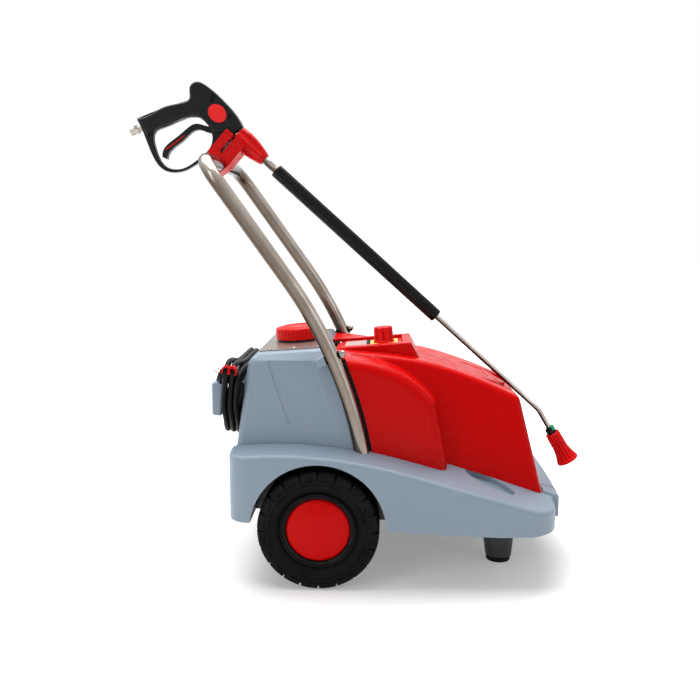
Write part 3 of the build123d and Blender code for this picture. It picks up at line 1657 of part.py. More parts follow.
with BuildPart() as console_plates:
    with BuildSketch(console_plane(knob_x, console_trough_depth)):
        RectangleRounded(*knob_plate, 4)
        Circle(knob_shaft_radius + bolt_clearance, mode=Mode.SUBTRACT)
    extrude(amount=plate_thin)
    with BuildSketch(console_plane(rear_plate_x, console_trough_depth)):
        RectangleRounded(*rear_plate, 3)
    extrude(amount=plate_thin)
finish(console_plates, "console_plates")

with BuildPart() as switch_knob:
    with BuildSketch(console_plane(knob_x, console_trough_depth).offset(knob_seat)):
        Circle(knob_radius)
    extrude(amount=knob_height + console_trough_depth)
    chamfer(switch_knob.edges().filter_by(GeomType.CIRCLE).sort_by(Axis.Z)[-1], knob_chamfer)
    knob_top = knob_seat + knob_height + console_trough_depth
    with BuildSketch(console_plane(knob_x, console_trough_depth).offset(knob_top)):
        Rectangle(3 * knob_radius, knob_slot, rotation=45)
        Rectangle(3 * knob_radius, knob_slot, rotation=-45)
    extrude(amount=-knob_slot_depth, mode=Mode.SUBTRACT)
    with BuildSketch(console_plane(knob_x, console_trough_depth).offset(knob_seat)):
        Circle(knob_shaft_radius - shaft_fit)
    extrude(amount=-knob_shaft_length)
finish(switch_knob, "switch_knob")

with BuildPart() as switch_body:
    with BuildSketch(console_plane(knob_x, console_trough_depth).offset(-hood_wall - seam)):
        RectangleRounded(switch_size, switch_size, 4)
    extrude(amount=-switch_depth)
    with BuildSketch(console_plane(knob_x, console_trough_depth)):
        Circle(knob_shaft_radius)
    extrude(amount=-knob_shaft_length - seam, mode=Mode.SUBTRACT)
finish(switch_body, "switch_body")

# ---------------------------------------------------------------------------
# Trigger gun with lance and nozzle, laid in its holder on the handle's crossbar
# ---------------------------------------------------------------------------

lance_slope = 42.0  # degrees below level
gun_origin = (-115.1, 0, 890.3)
slope = radians(lance_slope)
# Local X runs down the lance, local Y points up and forward from it.
gun_plane = Plane(origin=gun_origin, x_dir=(cos(slope), 0, -sin(slope)), z_dir=(0, -1, 0))

grip_half_thickness = 17.5
guard_half_thickness = 9.0
shell_rounding = 6.0
valve_radius = 11.0
valve_rear = -232.0
neck_front = -62.0
inlet_tube_radius = 7.0
inlet_start = (-228.0, 0.0)
inlet_nipple = (-297.0, -142.0)
inlet_end = (-305.5, -159.5)
trigger_half_width = 8.0
trigger_pivot = (-166.0, -18.0)
trigger_pin_radius = 2.5
latch_half_width = 2.5
latch_pivot = (-209.5, -88.0)
badge_centre = (-180.0, 6.5)
badge_size = (22.5, 18.5)
badge_thickness = 1.2
lance_radius = 6.0
lance_wall = 1.5
lance_bend_at = 832.0
lance_bend = 17.0  # degrees
bend_radius = 60.0
nozzle_length = 142.0
collar_at = 52.0
cone_at = 66.0
cone_small_radius = 16.5
cone_large_radius = 26.0
cone_ribs = 12
sleeve_radius = 15.5
sleeve_length = 502.0
sleeve_flutes = 10
lance_nipple_radius = 8.2
nut_rear = -116.0
nut_front = -34.6
nut_widest = -97.0
nut_radii = (24.0, 26.0, 23.0, 13.5)
nut_lobes = 6

grip_back = (
    (-312.6, -124.8), (-300, -109.8), (-285, -70.7), (-262, -36), (-250.4, -10.7), (-265.5, 8),
    (-263.7, 25.6), (-238.1, 36.7), (-193.7, 37.3), (-136.5, 29.2), (-118, 22),
)
grip_front = ((-164, -31), (-187.1, -27), (-212, -29.5), (-240, -67.6), (-262.4, -109.8), (-268, -140))
guard_outside = (
    (-123, -8), (-130, -60), (-144.5, -109.3), (-159, -146.1), (-188.5, -171.2), (-250.9, -156.8),
    (-309, -129),
)
guard_inside = (
    (-164, -36), (-147.5, -56), (-150, -104), (-165, -144), (-193, -163), (-238, -149), (-263, -122),
    (-250.1, -91.5), (-230, -50), (-205, -28),
)


with BuildPart() as gun_grip:
    with BuildSketch(gun_plane):
        with BuildLine():
            Spline(*grip_back)
            Polyline(grip_back[-1], guard_outside[0], grip_front[0])
            Spline(*grip_front)
            Line(grip_front[-1], grip_back[0])
        make_face()
    extrude(amount=grip_half_thickness, both=True)
    flat = gun_grip.faces().filter_by(lambda face: abs(face.normal_at().Y) > 0.99)
    fillet([edge for face in flat for edge in face.edges()], shell_rounding)

with BuildPart() as gun_guard:
    with BuildSketch(gun_plane):
        with BuildLine():
            Spline(*guard_outside)
            Polyline(guard_outside[-1], grip_back[0], grip_back[2], (-240, 0), guard_outside[0])
        make_face()
        with BuildLine():
            Spline(*guard_inside, periodic=True)
        make_face(mode=Mode.SUBTRACT)
    extrude(amount=guard_half_thickness, both=True)
    flat = gun_guard.faces().filter_by(lambda face: abs(face.normal_at().Y) > 0.99)
    rims = [edge for face in flat for edge in face.edges().filter_by(GeomType.BSPLINE)]
    fillet(rims, 2.5)

inlet_way = (inlet_end[0] - inlet_start[0], inlet_end[1] - inlet_start[1])
inlet_run = sqrt(inlet_way[0] ** 2 + inlet_way[1] ** 2)
inlet_unit = (inlet_way[0] / inlet_run, inlet_way[1] / inlet_run)


def across_gun(u, v, along=(1, 0)):
    """A plane across a direction that lies in the gun's middle plane."""
    tip = gun_plane.from_local_coords((u + along[0], v + along[1], 0))
    start = gun_plane.from_local_coords((u, v, 0))
    return Plane(origin=start, x_dir=(0, 1, 0), z_dir=tip - start)


with BuildPart() as gun_shell:
    add(gun_grip.part)
    add(gun_guard.part)
    # Room for the valve, its inlet tube and the trigger's upper end.
    with BuildSketch(across_gun(valve_rear - seam, 0)):
        Circle(valve_radius + seam)
    extrude(amount=150, mode=Mode.SUBTRACT)
    with BuildSketch(across_gun(*inlet_start, inlet_unit)):
        Circle(inlet_tube_radius + seam)
    extrude(amount=inlet_run, mode=Mode.SUBTRACT)
    with BuildSketch(gun_plane):
        Polygon((-154, -6), (-214, -6), (-216, -60), (-152, -60), align=None)
    extrude(amount=trigger_half_width + seam, both=True, mode=Mode.SUBTRACT)
    # The trigger's pin.
    with BuildSketch(gun_plane):
        with Locations(trigger_pivot):
            Circle(trigger_pin_radius)
    extrude(amount=trigger_half_width + 2, both=True)
    # Step on the top edge, grooves beside the badge, and the case screw's recess.
    for side in (-1, 1):
        with BuildSketch(gun_plane.offset(side * grip_half_thickness)):
            for u, v, length in ((-211, 17, 17), (-216, 15, 17), (-147, 3, 10), (-151, 0, 10)):
                with Locations((u, v)):
                    SlotOverall(length, 2.6, rotation=62)
        extrude(amount=-side * 1.5, mode=Mode.SUBTRACT)
        with BuildSketch(gun_plane.offset(side * grip_half_thickness)):
            with Locations((-139, 8)):
                Circle(2.6)
        extrude(amount=-side * 0.8, mode=Mode.SUBTRACT)


def half_shell(side):
    """One moulded half of the gun's shell."""
    with BuildPart() as half:
        add(gun_shell.part)
        with BuildSketch(Plane.XZ):
            Rectangle(3000, 3000)
        extrude(amount=side * 100, mode=Mode.SUBTRACT)
    return half


finish(half_shell(-1), "gun_shell_right")
finish(half_shell(1), "gun_shell_left")

with BuildPart() as gun_badges:
    for side in (-1, 1):
        with BuildSketch(gun_plane.offset(side * grip_half_thickness)):
            with Locations(badge_centre):
                Ellipse(badge_size[0], badge_size[1])
        extrude(amount=side * badge_thickness)
finish(gun_badges, "gun_badges")

trigger_blade = (
    (-173, -25), (-191.7, -35.8), (-206, -46), (-211, -58), (-217.5, -94.6), (-222, -140), (-214, -152),
)
trigger_face = (
    (-203, -149), (-209, -134.5), (-202.8, -94), (-195, -55), (-185, -46), (-172, -41), (-161, -30),
)

with BuildPart() as gun_trigger:
    with BuildSketch(gun_plane):
        with BuildLine():
            Spline(*trigger_blade)
            Line(trigger_blade[-1], trigger_face[0])
            Spline(*trigger_face)
            Polyline(trigger_face[-1], (-160.5, -19), (-170, -13), trigger_blade[0])
        make_face()
        with Locations(trigger_pivot):
            Circle(6)
            Circle(trigger_pin_radius + shaft_fit, mode=Mode.SUBTRACT)
    extrude(amount=trigger_half_width, both=True)
    # Slot for the latch in the trigger's back, and the latch's pin across it.
    with BuildSketch(gun_plane):
        Polygon((-204, -82), (-230, -82), (-230, -140), (-211, -140), align=None)
    extrude(amount=latch_half_width + seam, both=True, mode=Mode.SUBTRACT)
    with BuildSketch(gun_plane):
        with Locations(latch_pivot):
            Circle(1.5)
    extrude(amount=trigger_half_width - 1, both=True)
finish(gun_trigger, "gun_trigger")

with BuildPart() as trigger_latch:
    with BuildSketch(gun_plane):
        Polygon((-207, -87), (-215, -84.5), (-222, -134), (-216.5, -137.5), (-212.5, -108), align=None)
        with Locations(latch_pivot):
            Circle(3.2)
            Circle(1.5 + shaft_fit, mode=Mode.SUBTRACT)
    extrude(amount=latch_half_width, both=True)
finish(trigger_latch, "trigger_latch")

with BuildPart() as gun_valve:
    with BuildSketch(across_gun(valve_rear, 0)):
        Circle(valve_radius)
    extrude(amount=neck_front - valve_rear)
    with BuildSketch(across_gun(*inlet_start, inlet_unit)):
        Circle(inlet_tube_radius)
    extrude(amount=inlet_run - 4)
    nipple_start = sqrt((inlet_nipple[0] - inlet_start[0]) ** 2 + (inlet_nipple[1] - inlet_start[1]) ** 2)
    with BuildSketch(across_gun(*inlet_start, inlet_unit).offset(nipple_start)):
        RegularPolygon(11, 6)
    extrude(amount=8)
    with BuildSketch(across_gun(*inlet_start, inlet_unit).offset(nipple_start)):
        Circle(9.5)
    extrude(amount=inlet_run - nipple_start)
    with BuildSketch(across_gun(neck_front, 0)):
        Circle(4)
    extrude(amount=-60, mode=Mode.SUBTRACT)
    with BuildSketch(across_gun(*inlet_end, inlet_unit)):
        Circle(4)
    extrude(amount=-60, mode=Mode.SUBTRACT)
finish(gun_valve, "gun_valve")

def flute(start_plane, start_radius, end_plane, end_radius, turn, width):
    """A round-bottomed flute between two planes, along a side that may taper."""
    start = start_plane.from_local_coords((start_radius * cos(turn), start_radius * sin(turn), 0))
    end = end_plane.from_local_coords((end_radius * cos(turn), end_radius * sin(turn), 0))
    with BuildPart() as groove:
        with BuildSketch(Plane(origin=start, z_dir=end - start)):
            Circle(width)
        extrude(amount=(end - start).length)
    return groove


with BuildPart() as coupling_nut:
    with BuildSketch(gun_plane):
        with BuildLine():
            Polyline((nut_front, 0), (nut_rear, 0), (nut_rear, nut_radii[0]), (nut_widest, nut_radii[1]))
            Spline((nut_widest, nut_radii[1]), (-68, nut_radii[2]), (nut_front, nut_radii[3]))
            Line((nut_front, nut_radii[3]), (nut_front, 0))
        make_face()
    revolve(axis=Axis(gun_plane.origin, gun_plane.x_dir))
    rims = coupling_nut.edges().filter_by(GeomType.CIRCLE)
    fillet(rims.sort_by(Axis(gun_plane.origin, gun_plane.x_dir))[:2], 3)
    # Finger flutes between the lobes.
    for lobe in range(nut_lobes):
        turn = 2 * pi * (lobe + 0.5) / nut_lobes
        rear, front = across_gun(nut_rear - 5, 0), across_gun(nut_front - 6, 0)
        cut = flute(rear, nut_radii[1] + 8, front, nut_radii[2] + 4, turn, 12)
        add(cut.part, mode=Mode.SUBTRACT)
    with BuildSketch(across_gun(nut_rear, 0)):
        Circle(valve_radius + seam)
    extrude(amount=neck_front - nut_rear + seam, mode=Mode.SUBTRACT)
    with BuildSketch(across_gun(nut_front, 0)):
        Circle(lance_nipple_radius + seam)
    extrude(amount=-60, mode=Mode.SUBTRACT)
finish(coupling_nut, "coupling_nut")

bend = radians(lance_bend)
nozzle_way = (cos(bend), -sin(bend))


def across_nozzle(reach):
    """A plane across the lance's bent end, some way beyond the bend."""
    u = lance_bend_at + reach * nozzle_way[0]
    return across_gun(u, reach * nozzle_way[1], nozzle_way)


def lance_at(u, v=0.0):
    return gun_plane.from_local_coords((u, v, 0))


with BuildPart() as lance_tube:
    end = nozzle_length - 8
    with BuildLine():
        FilletPolyline(
            lance_at(0),
            lance_at(lance_bend_at),
            lance_at(lance_bend_at + end * nozzle_way[0], end * nozzle_way[1]),
            radius=bend_radius,
        )
    with BuildSketch(across_gun(0, 0)):
        Circle(lance_radius)
        Circle(lance_radius - lance_wall, mode=Mode.SUBTRACT)
    sweep()
    with BuildSketch(across_gun(neck_front + seam, 0)):
        Circle(lance_nipple_radius)
        Circle(lance_radius - lance_wall, mode=Mode.SUBTRACT)
    extrude(amount=-neck_front - seam)
    with BuildSketch(across_gun(nut_front + 10, 0)):
        RegularPolygon(9.4, 6)
        Circle(lance_radius - lance_wall, mode=Mode.SUBTRACT)
    extrude(amount=18)
finish(lance_tube, "lance_tube")

with BuildPart() as lance_grip:
    with BuildSketch(across_gun(0, 0)):
        Circle(sleeve_radius)
        Circle(lance_radius, mode=Mode.SUBTRACT)
    extrude(amount=sleeve_length)
    rims = lance_grip.edges().filter_by(GeomType.CIRCLE)
    fillet(rims.filter_by(lambda edge: edge.radius > sleeve_radius - 1), 3)
    with BuildSketch(across_gun(10, 0)):
        with PolarLocations(sleeve_radius + 1, sleeve_flutes):
            Circle(3)
    extrude(amount=sleeve_length - 20, mode=Mode.SUBTRACT)
finish(lance_grip, "lance_grip")

with BuildPart() as nozzle_ring:
    with BuildSketch(across_nozzle(collar_at)):
        Circle(11)
        Circle(lance_radius, mode=Mode.SUBTRACT)
    extrude(amount=cone_at - collar_at - seam)
    with BuildSketch(across_nozzle(collar_at)):
        Circle(9)
        Circle(lance_radius, mode=Mode.SUBTRACT)
    extrude(amount=-10)
finish(nozzle_ring, "nozzle_ring")

with BuildPart() as nozzle_cone:
    with BuildSketch(across_nozzle(cone_at)):
        Circle(cone_small_radius)
    with BuildSketch(across_nozzle((cone_at + nozzle_length) / 2)):
        Circle(cone_small_radius + 3.2)
    with BuildSketch(across_nozzle(nozzle_length)):
        Circle(cone_large_radius)
    loft()
    for rib in range(cone_ribs):
        turn = 2 * pi * rib / cone_ribs
        small, large = across_nozzle(cone_at - 2), across_nozzle(nozzle_length + 2)
        cut = flute(small, cone_small_radius + 1, large, cone_large_radius + 1.5, turn, 2.6)
        add(cut.part, mode=Mode.SUBTRACT)
    with BuildSketch(across_nozzle(cone_at)):
        Circle(lance_radius + shaft_fit)
    extrude(amount=nozzle_length - cone_at, mode=Mode.SUBTRACT)
    with BuildSketch(across_nozzle(nozzle_length)):
        Circle(cone_large_radius - 8)
    extrude(amount=-10, taper=-20, mode=Mode.SUBTRACT)
finish(nozzle_cone, "nozzle_cone")

# Holder: a clamp round the crossbar with a split cradle for the gun's neck and nut.
holder_jaws = ((-139.0, -119.0), (-111.0, -83.0))
holder_top = -4.0
holder_half_width = 35.0
bar_offset = gun_plane.to_local_coords(Vector(handle_top_x, 0, handle_top_height))
clamp_wall = 9.0
guard_front_limit = -122.0
body_slot_floor = -16.0

with BuildPart() as gun_holder:
    with BuildSketch(gun_plane):
        Polygon(
            (holder_jaws[0][0], holder_top),
            (holder_jaws[1][1], holder_top),
            (holder_jaws[1][1], bar_offset.Y + 8),
            (bar_offset.X + 12, bar_offset.Y - tube_radius - clamp_wall),
            (bar_offset.X - 12, bar_offset.Y - tube_radius - clamp_wall),
            (holder_jaws[0][0], bar_offset.Y + 8),
            align=None,
        )
    extrude(amount=holder_half_width, both=True)
    with BuildSketch(gun_plane):
        with Locations((bar_offset.X, bar_offset.Y)):
            Circle(tube_radius)
        Polygon(
            (holder_jaws[0][1], holder_top + 1),
            (holder_jaws[1][0], holder_top + 1),
            (holder_jaws[1][0], bar_offset.Y + tube_radius + 8),
            (holder_jaws[0][1], bar_offset.Y + tube_radius + 8),
            align=None,
        )
    extrude(amount=holder_half_width + 1, both=True, mode=Mode.SUBTRACT)
    # The cradle: a slot for the guard, a wider one for the gun's body, a round one for the nut.
    rear, front = holder_jaws[0][0] - 1, nut_rear - 1
    with BuildSketch(across_gun(rear, 0)):
        Rectangle(2 * (guard_half_thickness + seam), 400)
    extrude(amount=guard_front_limit - rear, mode=Mode.SUBTRACT)
    with BuildSketch(gun_plane):
        Polygon((rear, 40), (front, 40), (front, body_slot_floor), (rear, body_slot_floor - 8), align=None)
    extrude(amount=grip_half_thickness + seam, both=True, mode=Mode.SUBTRACT)
    with BuildSketch(across_gun(front, 0)):
        Circle(nut_radii[1] + seam)
    extrude(amount=holder_jaws[1][1] - front + 1, mode=Mode.SUBTRACT)
finish(gun_holder, "gun_holder")

# ---------------------------------------------------------------------------
# The chassis shell itself, with room for all that passes through it
# ---------------------------------------------------------------------------

deck = deck_body()
deck_underside = deck_body(-chassis_wall)


def scoop(side, margin):
    """An oval scoop in the shoulder, its floor parallel to the deck; the margin thickens it."""
    x, y = scoop_centre
    with BuildPart() as bowl:
        with BuildSketch(Plane.XY):
            with Locations(Location((x, side * y), side * scoop_turn)):
                Ellipse(scoop_length + margin, scoop_width + margin)
        extrude(amount=300)
        add(deck_body(-scoop_depth - margin).part, mode=Mode.SUBTRACT)
    return bowl


# The hollow under the shell, less the walls of the wheel arches, the tub, the scoops and the
# handle sockets.
with BuildPart() as hollow:
    add(deck_underside.part)
    with BuildSketch(Plane.XY):
        add(plan_view(chassis_wall))
    extrude(amount=400, mode=Mode.INTERSECT)
    with BuildSketch(Plane.XY.offset(tray_height - chassis_wall)):
        with Locations(((tray_rear + tray_front + chassis_wall) / 2, 0)):
            Rectangle(tray_front + chassis_wall - tray_rear, 2 * (tray_half_width + chassis_wall))
    extrude(amount=100, mode=Mode.SUBTRACT)
    with BuildSketch(Plane.XY.offset(tub_floor - chassis_wall)):
        with Locations(((tub_rear + tub_front) / 2, 0)):
            Rectangle(tub_front - tub_rear + 2 * chassis_wall, 2 * (tub_half_width + chassis_wall))
    extrude(amount=300, mode=Mode.SUBTRACT)
    for side in (-1, 1):
        with BuildSketch(along_y(0, side * (arch_inner_face - chassis_wall), wheel_radius, side)):
            Circle(arch_outer_radius)
        extrude(amount=200, mode=Mode.SUBTRACT)
        with BuildSketch(handle_plane(handle_foot_lean, side).offset(-seam - chassis_wall)):
            Circle(tube_radius + socket_boss_wall)
        extrude(amount=60, mode=Mode.SUBTRACT)
        add(scoop(side, chassis_wall).part, mode=Mode.SUBTRACT)

# The ribbed pad across the nose stands proud of the shell.
with BuildPart() as nose_pad:
    add(deck_body(pad_lift).part)
    with BuildSketch(Plane.XY):
        with BuildLine():
            ThreePointArc((pad_front - 4, -pad_half_width), (pad_front, 0), (pad_front - 4, pad_half_width))
            Polyline(
                (pad_front - 4, pad_half_width),
                (pad_rear, pad_half_width),
                (pad_rear, -pad_half_width),
                (pad_front - 4, -pad_half_width),
            )
        make_face()
    extrude(amount=400, mode=Mode.INTERSECT)
    upright = nose_pad.faces().filter_by(lambda face: abs(face.normal_at().Z) < 0.2)
    outer = upright.sort_by(Axis.X)[1:]
    rims = [edge for face in outer for edge in face.edges()]
    fillet([edge for edge in rims if edge.center().Z > skirt_nose_height], pad_edge_radius)

# Two grooves divide the pad's top.
with BuildPart() as pad_grooves:
    with BuildSketch(Plane.XY):
        with GridLocations(0, pad_groove_spacing, 1, 2):
            with Locations((pad_front, 0)):
                Rectangle(2 * (pad_front - pad_rear), pad_groove)
    extrude(amount=400)
    add(deck_body(pad_lift - pad_groove_depth).part, mode=Mode.SUBTRACT)

with BuildPart() as chassis:
    add(deck.part)
    with BuildSketch(Plane.XY):
        add(plan_view())
    extrude(amount=400, mode=Mode.INTERSECT)
    upright = chassis.faces().filter_by(lambda face: abs(face.normal_at().Z) < 0.2)
    top_edges = [edge for face in upright for edge in face.edges() if edge.geom_type == GeomType.BSPLINE]
    fillet(top_edges, deck_edge_radius)
    add(nose_pad.part)
    add(pad_grooves.part, mode=Mode.SUBTRACT)
    # The skirt's lower edge.
    with BuildSketch(Plane.XZ):
        with BuildLine():
            Polyline(
                (-300, skirt_rear_height),
                (-arch_radius, skirt_rear_height),
                (arch_radius, skirt_arch_height),
                (385, skirt_front_height),
                (450, skirt_front_height),
                (600, skirt_nose_height + 4),
                (600, -10),
                (-300, -10),
                close=True,
            )
        make_face()
    extrude(amount=chassis_half_width + 10, both=True, mode=Mode.SUBTRACT)
    add(hollow.part, mode=Mode.SUBTRACT)
    for side in (-1, 1):
        # Wheel arches, notched for the axle.
        with BuildSketch(along_y(0, side * arch_inner_face, wheel_radius, side)):
            Circle(arch_radius)
        extrude(amount=200, mode=Mode.SUBTRACT)
        with BuildSketch(along_y(0, side * (arch_inner_face - 2 * chassis_wall), wheel_radius, side)):
            Rectangle(2 * axle_notch, 2 * axle_notch)
        extrude(amount=3 * chassis_wall, mode=Mode.SUBTRACT)
        add(scoop(side, 0).part, mode=Mode.SUBTRACT)
        with BuildSketch(handle_plane(handle_foot_lean, side).offset(-seam)):
            Circle(tube_radius + 2 * seam)
        extrude(amount=60, mode=Mode.SUBTRACT)
    # The tray under the tank, and the tub.
    with BuildSketch(Plane.XY.offset(tray_height)):
        with Locations(((tray_rear + tray_front) / 2, 0)):
            Rectangle(tray_front - tray_rear, 2 * tray_half_width)
    extrude(amount=100, mode=Mode.SUBTRACT)
    with BuildSketch(Plane.XY.offset(tub_floor)):
        with Locations(((tub_rear + tub_front) / 2, 0)):
            Rectangle(tub_front - tub_rear, 2 * tub_half_width)
    extrude(amount=300, mode=Mode.SUBTRACT)

    # Holes in the tub's floor for the subframe's bolts and the motor's mounts.
    for x, y in frame_bolt_places + mount_places:
        with BuildSketch(Plane.XY.offset(tub_floor)):
            with Locations((x, y), (x, -y)):
                Circle(frame_bolt_radius + bolt_clearance)
        extrude(amount=-chassis_wall, mode=Mode.SUBTRACT)
    # Holes for the hoses and the pressure pipe.
    with BuildSketch(Plane.XY.offset(tray_height)):
        with Locations(float_place, suction_place):
            Circle(port_radius + seam)
    extrude(amount=-chassis_wall, mode=Mode.SUBTRACT)
    for x, y, radius in (
        (tub_rear - chassis_wall, suction_y, suction_hose_radius),
        (tub_rear - chassis_wall, outlet_y, pipe_radius),
        (chassis_rear, inlet_y, coupling_radius - bolt_clearance),
        (chassis_rear, outlet_y, coupling_radius - bolt_clearance),
    ):
        with BuildSketch(Plane(origin=(x, y, port_height), z_dir=(1, 0, 0))):
            Circle(radius + bolt_clearance)
        extrude(amount=chassis_wall, mode=Mode.SUBTRACT)
finish(chassis, "chassis")

# ---------------------------------------------------------------------------
# Move everything to the object's origin and write it
# ---------------------------------------------------------------------------

cord_labels = ("cord_coil", "cord_tail", "cord_gland", "plug", "plug_pins", "cord_clip")
boxes = [piece.part.bounding_box() for piece in pieces if piece.part.label not in cord_labels]
middle_x = (min(box.min.X for box in boxes) + max(box.max.X for box in boxes)) / 2
base = Vector(-middle_x, 0, -min(box.min.Z for box in boxes))

os.makedirs("parts", exist_ok=True)
for piece in pieces:
    label = piece.part.label
    moved = piece.part.moved(Location(base))
    moved.label = label
    export_step(moved, f"parts/{label}.step")
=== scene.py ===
"""Looks of the high-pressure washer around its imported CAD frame. Metres, in the frame's own axes."""

import math

import bmesh
import bpy
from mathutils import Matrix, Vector


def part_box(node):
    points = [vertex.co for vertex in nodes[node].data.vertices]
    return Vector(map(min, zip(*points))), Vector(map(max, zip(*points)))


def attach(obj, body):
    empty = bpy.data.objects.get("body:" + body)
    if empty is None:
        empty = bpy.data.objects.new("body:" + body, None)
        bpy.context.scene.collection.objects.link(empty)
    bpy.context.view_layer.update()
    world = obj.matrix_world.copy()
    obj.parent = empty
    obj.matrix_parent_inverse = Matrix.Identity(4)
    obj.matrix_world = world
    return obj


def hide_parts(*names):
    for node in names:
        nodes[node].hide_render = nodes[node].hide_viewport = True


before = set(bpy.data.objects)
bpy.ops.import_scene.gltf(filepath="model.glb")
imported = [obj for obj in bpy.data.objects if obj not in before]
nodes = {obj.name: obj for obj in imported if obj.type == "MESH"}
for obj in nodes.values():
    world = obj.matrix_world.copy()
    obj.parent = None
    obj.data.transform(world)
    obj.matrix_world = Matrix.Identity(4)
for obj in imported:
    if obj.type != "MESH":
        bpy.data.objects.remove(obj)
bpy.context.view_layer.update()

axle_low, axle_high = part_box("axle")
AXLE_X = (axle_low.x + axle_high.x) / 2
AXLE_HEIGHT = (axle_low.z + axle_high.z) / 2


def place(x, y, z):
    """A point given from the axle's middle in X, the machine's middle in Y and the floor in Z."""
    return Vector((AXLE_X + x, y, z))


# ---------------------------------------------------------------------------
# Camera and studio
# ---------------------------------------------------------------------------

CAMERA_PLACE = (0.1419, -1.8959, 0.7758)
CAMERA_PITCH = 0.1583  # downward, in radians
CAMERA_YAW = 0.0456  # towards the machine's rear, in radians
CAMERA_SENSOR = 36.0
CAMERA_LENS = 41.66

AMBIENT = 0.24  # the backdrop's strength as a light; it is seen at full white
FLOOR_HALF = 12.0
FLOOR_COLOUR = (0.86, 0.86, 0.86, 1)
FLOOR_GLOW = 0.26  # the floor's own light under the machine
FLOOR_FADE = (0.3, 1.15)  # from here to here the glow grows to the backdrop's white


def link(name, data):
    """A new object in the scene."""
    made = bpy.data.objects.new(name, data)
    bpy.context.scene.collection.objects.link(made)
    return made


def aim(thing, direction):
    """Turns a camera or a lamp to face along a direction."""
    thing.rotation_mode = "QUATERNION"
    thing.rotation_quaternion = direction.to_track_quat("-Z", "Y")


def make_camera():
    data = bpy.data.cameras.new("camera")
    data.sensor_width = CAMERA_SENSOR
    data.lens = CAMERA_LENS
    camera = link("camera", data)
    camera.location = place(*CAMERA_PLACE)
    aim(camera, Vector((
        -math.sin(CAMERA_YAW) * math.cos(CAMERA_PITCH),
        math.cos(CAMERA_YAW) * math.cos(CAMERA_PITCH),
        -math.sin(CAMERA_PITCH),
    )))
    bpy.context.scene.camera = camera


def make_light(name, location, target, size, power):
    data = bpy.data.lights.new(name, "AREA")
    data.shape = "RECTANGLE"
    data.size, data.size_y = size
    data.energy = power
    lamp = link(name, data)
    lamp.location = location
    aim(lamp, Vector(target) - Vector(location))


def seen_directly(tree):
    """1 on rays that see the backdrop, straight or in metal and glass, and 0 on rays that light things."""
    path = tree.nodes.new("ShaderNodeLightPath").outputs
    seen = path["Is Camera Ray"]
    for kind in ("Is Glossy Ray", "Is Transmission Ray"):
        either = tree.nodes.new("ShaderNodeMath")
        either.operation = "MAXIMUM"
        tree.links.new(seen, either.inputs[0])
        tree.links.new(path[kind], either.inputs[1])
        seen = either.outputs[0]
    return seen


def make_world():
    world = bpy.data.worlds.new("studio")
    bpy.context.scene.world = world
    world.use_nodes = True
    tree = world.node_tree
    tree.nodes.clear()
    strength = tree.nodes.new("ShaderNodeMix")
    strength.data_type = "FLOAT"
    strength.inputs["A"].default_value = AMBIENT
    strength.inputs["B"].default_value = 1.0
    tree.links.new(seen_directly(tree), strength.inputs["Factor"])
    background = tree.nodes.new("ShaderNodeBackground")
    background.inputs["Color"].default_value = (1, 1, 1, 1)
    tree.links.new(strength.outputs["Result"], background.inputs["Strength"])
    out = tree.nodes.new("ShaderNodeOutputWorld")
    tree.links.new(background.outputs[0], out.inputs[0])


def make_floor():
    """A pale floor that takes shadows near the machine and runs out into the white backdrop."""
    mesh = bpy.data.meshes.new("floor")
    corners = [(x * FLOOR_HALF, y * FLOOR_HALF, 0) for x, y in ((-1, -1), (1, -1), (1, 1), (-1, 1))]
    mesh.from_pydata(corners, [], [(0, 1, 2, 3)])
    floor = link("floor", mesh)
    material = bpy.data.materials.new("floor")
    material.use_nodes = True
    tree = material.node_tree
    tree.nodes.clear()
    diffuse = tree.nodes.new("ShaderNodeBsdfDiffuse")
    diffuse.inputs["Color"].default_value = FLOOR_COLOUR
    distance = tree.nodes.new("ShaderNodeVectorMath")
    distance.operation = "LENGTH"
    tree.links.new(tree.nodes.new("ShaderNodeTexCoord").outputs["Object"], distance.inputs[0])
    fade = tree.nodes.new("ShaderNodeMapRange")
    fade.interpolation_type = "SMOOTHSTEP"
    fade.inputs["From Min"].default_value, fade.inputs["From Max"].default_value = FLOOR_FADE
    fade.inputs["To Min"].default_value = FLOOR_GLOW
    tree.links.new(distance.outputs["Value"], fade.inputs["Value"])
    strength = tree.nodes.new("ShaderNodeMath")
    strength.operation = "MULTIPLY"
    tree.links.new(seen_directly(tree), strength.inputs[0])
    tree.links.new(fade.outputs["Result"], strength.inputs[1])
    glow = tree.nodes.new("ShaderNodeEmission")
    tree.links.new(strength.outputs[0], glow.inputs["Strength"])
    both = tree.nodes.new("ShaderNodeAddShader")
    tree.links.new(diffuse.outputs[0], both.inputs[0])
    tree.links.new(glow.outputs[0], both.inputs[1])
    out = tree.nodes.new("ShaderNodeOutputMaterial")
    tree.links.new(both.outputs[0], out.inputs[0])
    mesh.materials.append(material)


make_camera()
make_world()
make_floor()
make_light("overhead", location=(-0.4, 0.5, 2.9), target=(0.05, 0.0, 0.2), size=(3.0, 2.6), power=140)
make_light("front_left", location=(-2.2, -2.6, 1.7), target=(0.0, 0.0, 0.5), size=(1.2, 2.2), power=22)
make_light("front_right", location=(2.8, -1.6, 1.5), target=(0.1, 0.0, 0.4), size=(0.9, 2.2), power=10)
bpy.context.scene.view_settings.view_transform = "Standard"

# ---------------------------------------------------------------------------
# Kinds of finish. Noise scales are per metre. The first two numbers of a span are where it cuts a noise,
# and the last two what it makes of it there.
# ---------------------------------------------------------------------------

SCREEN_GAMMA = 2.2
BEVEL_SAMPLES = 4
EDGE_ROUNDING = 0.0015
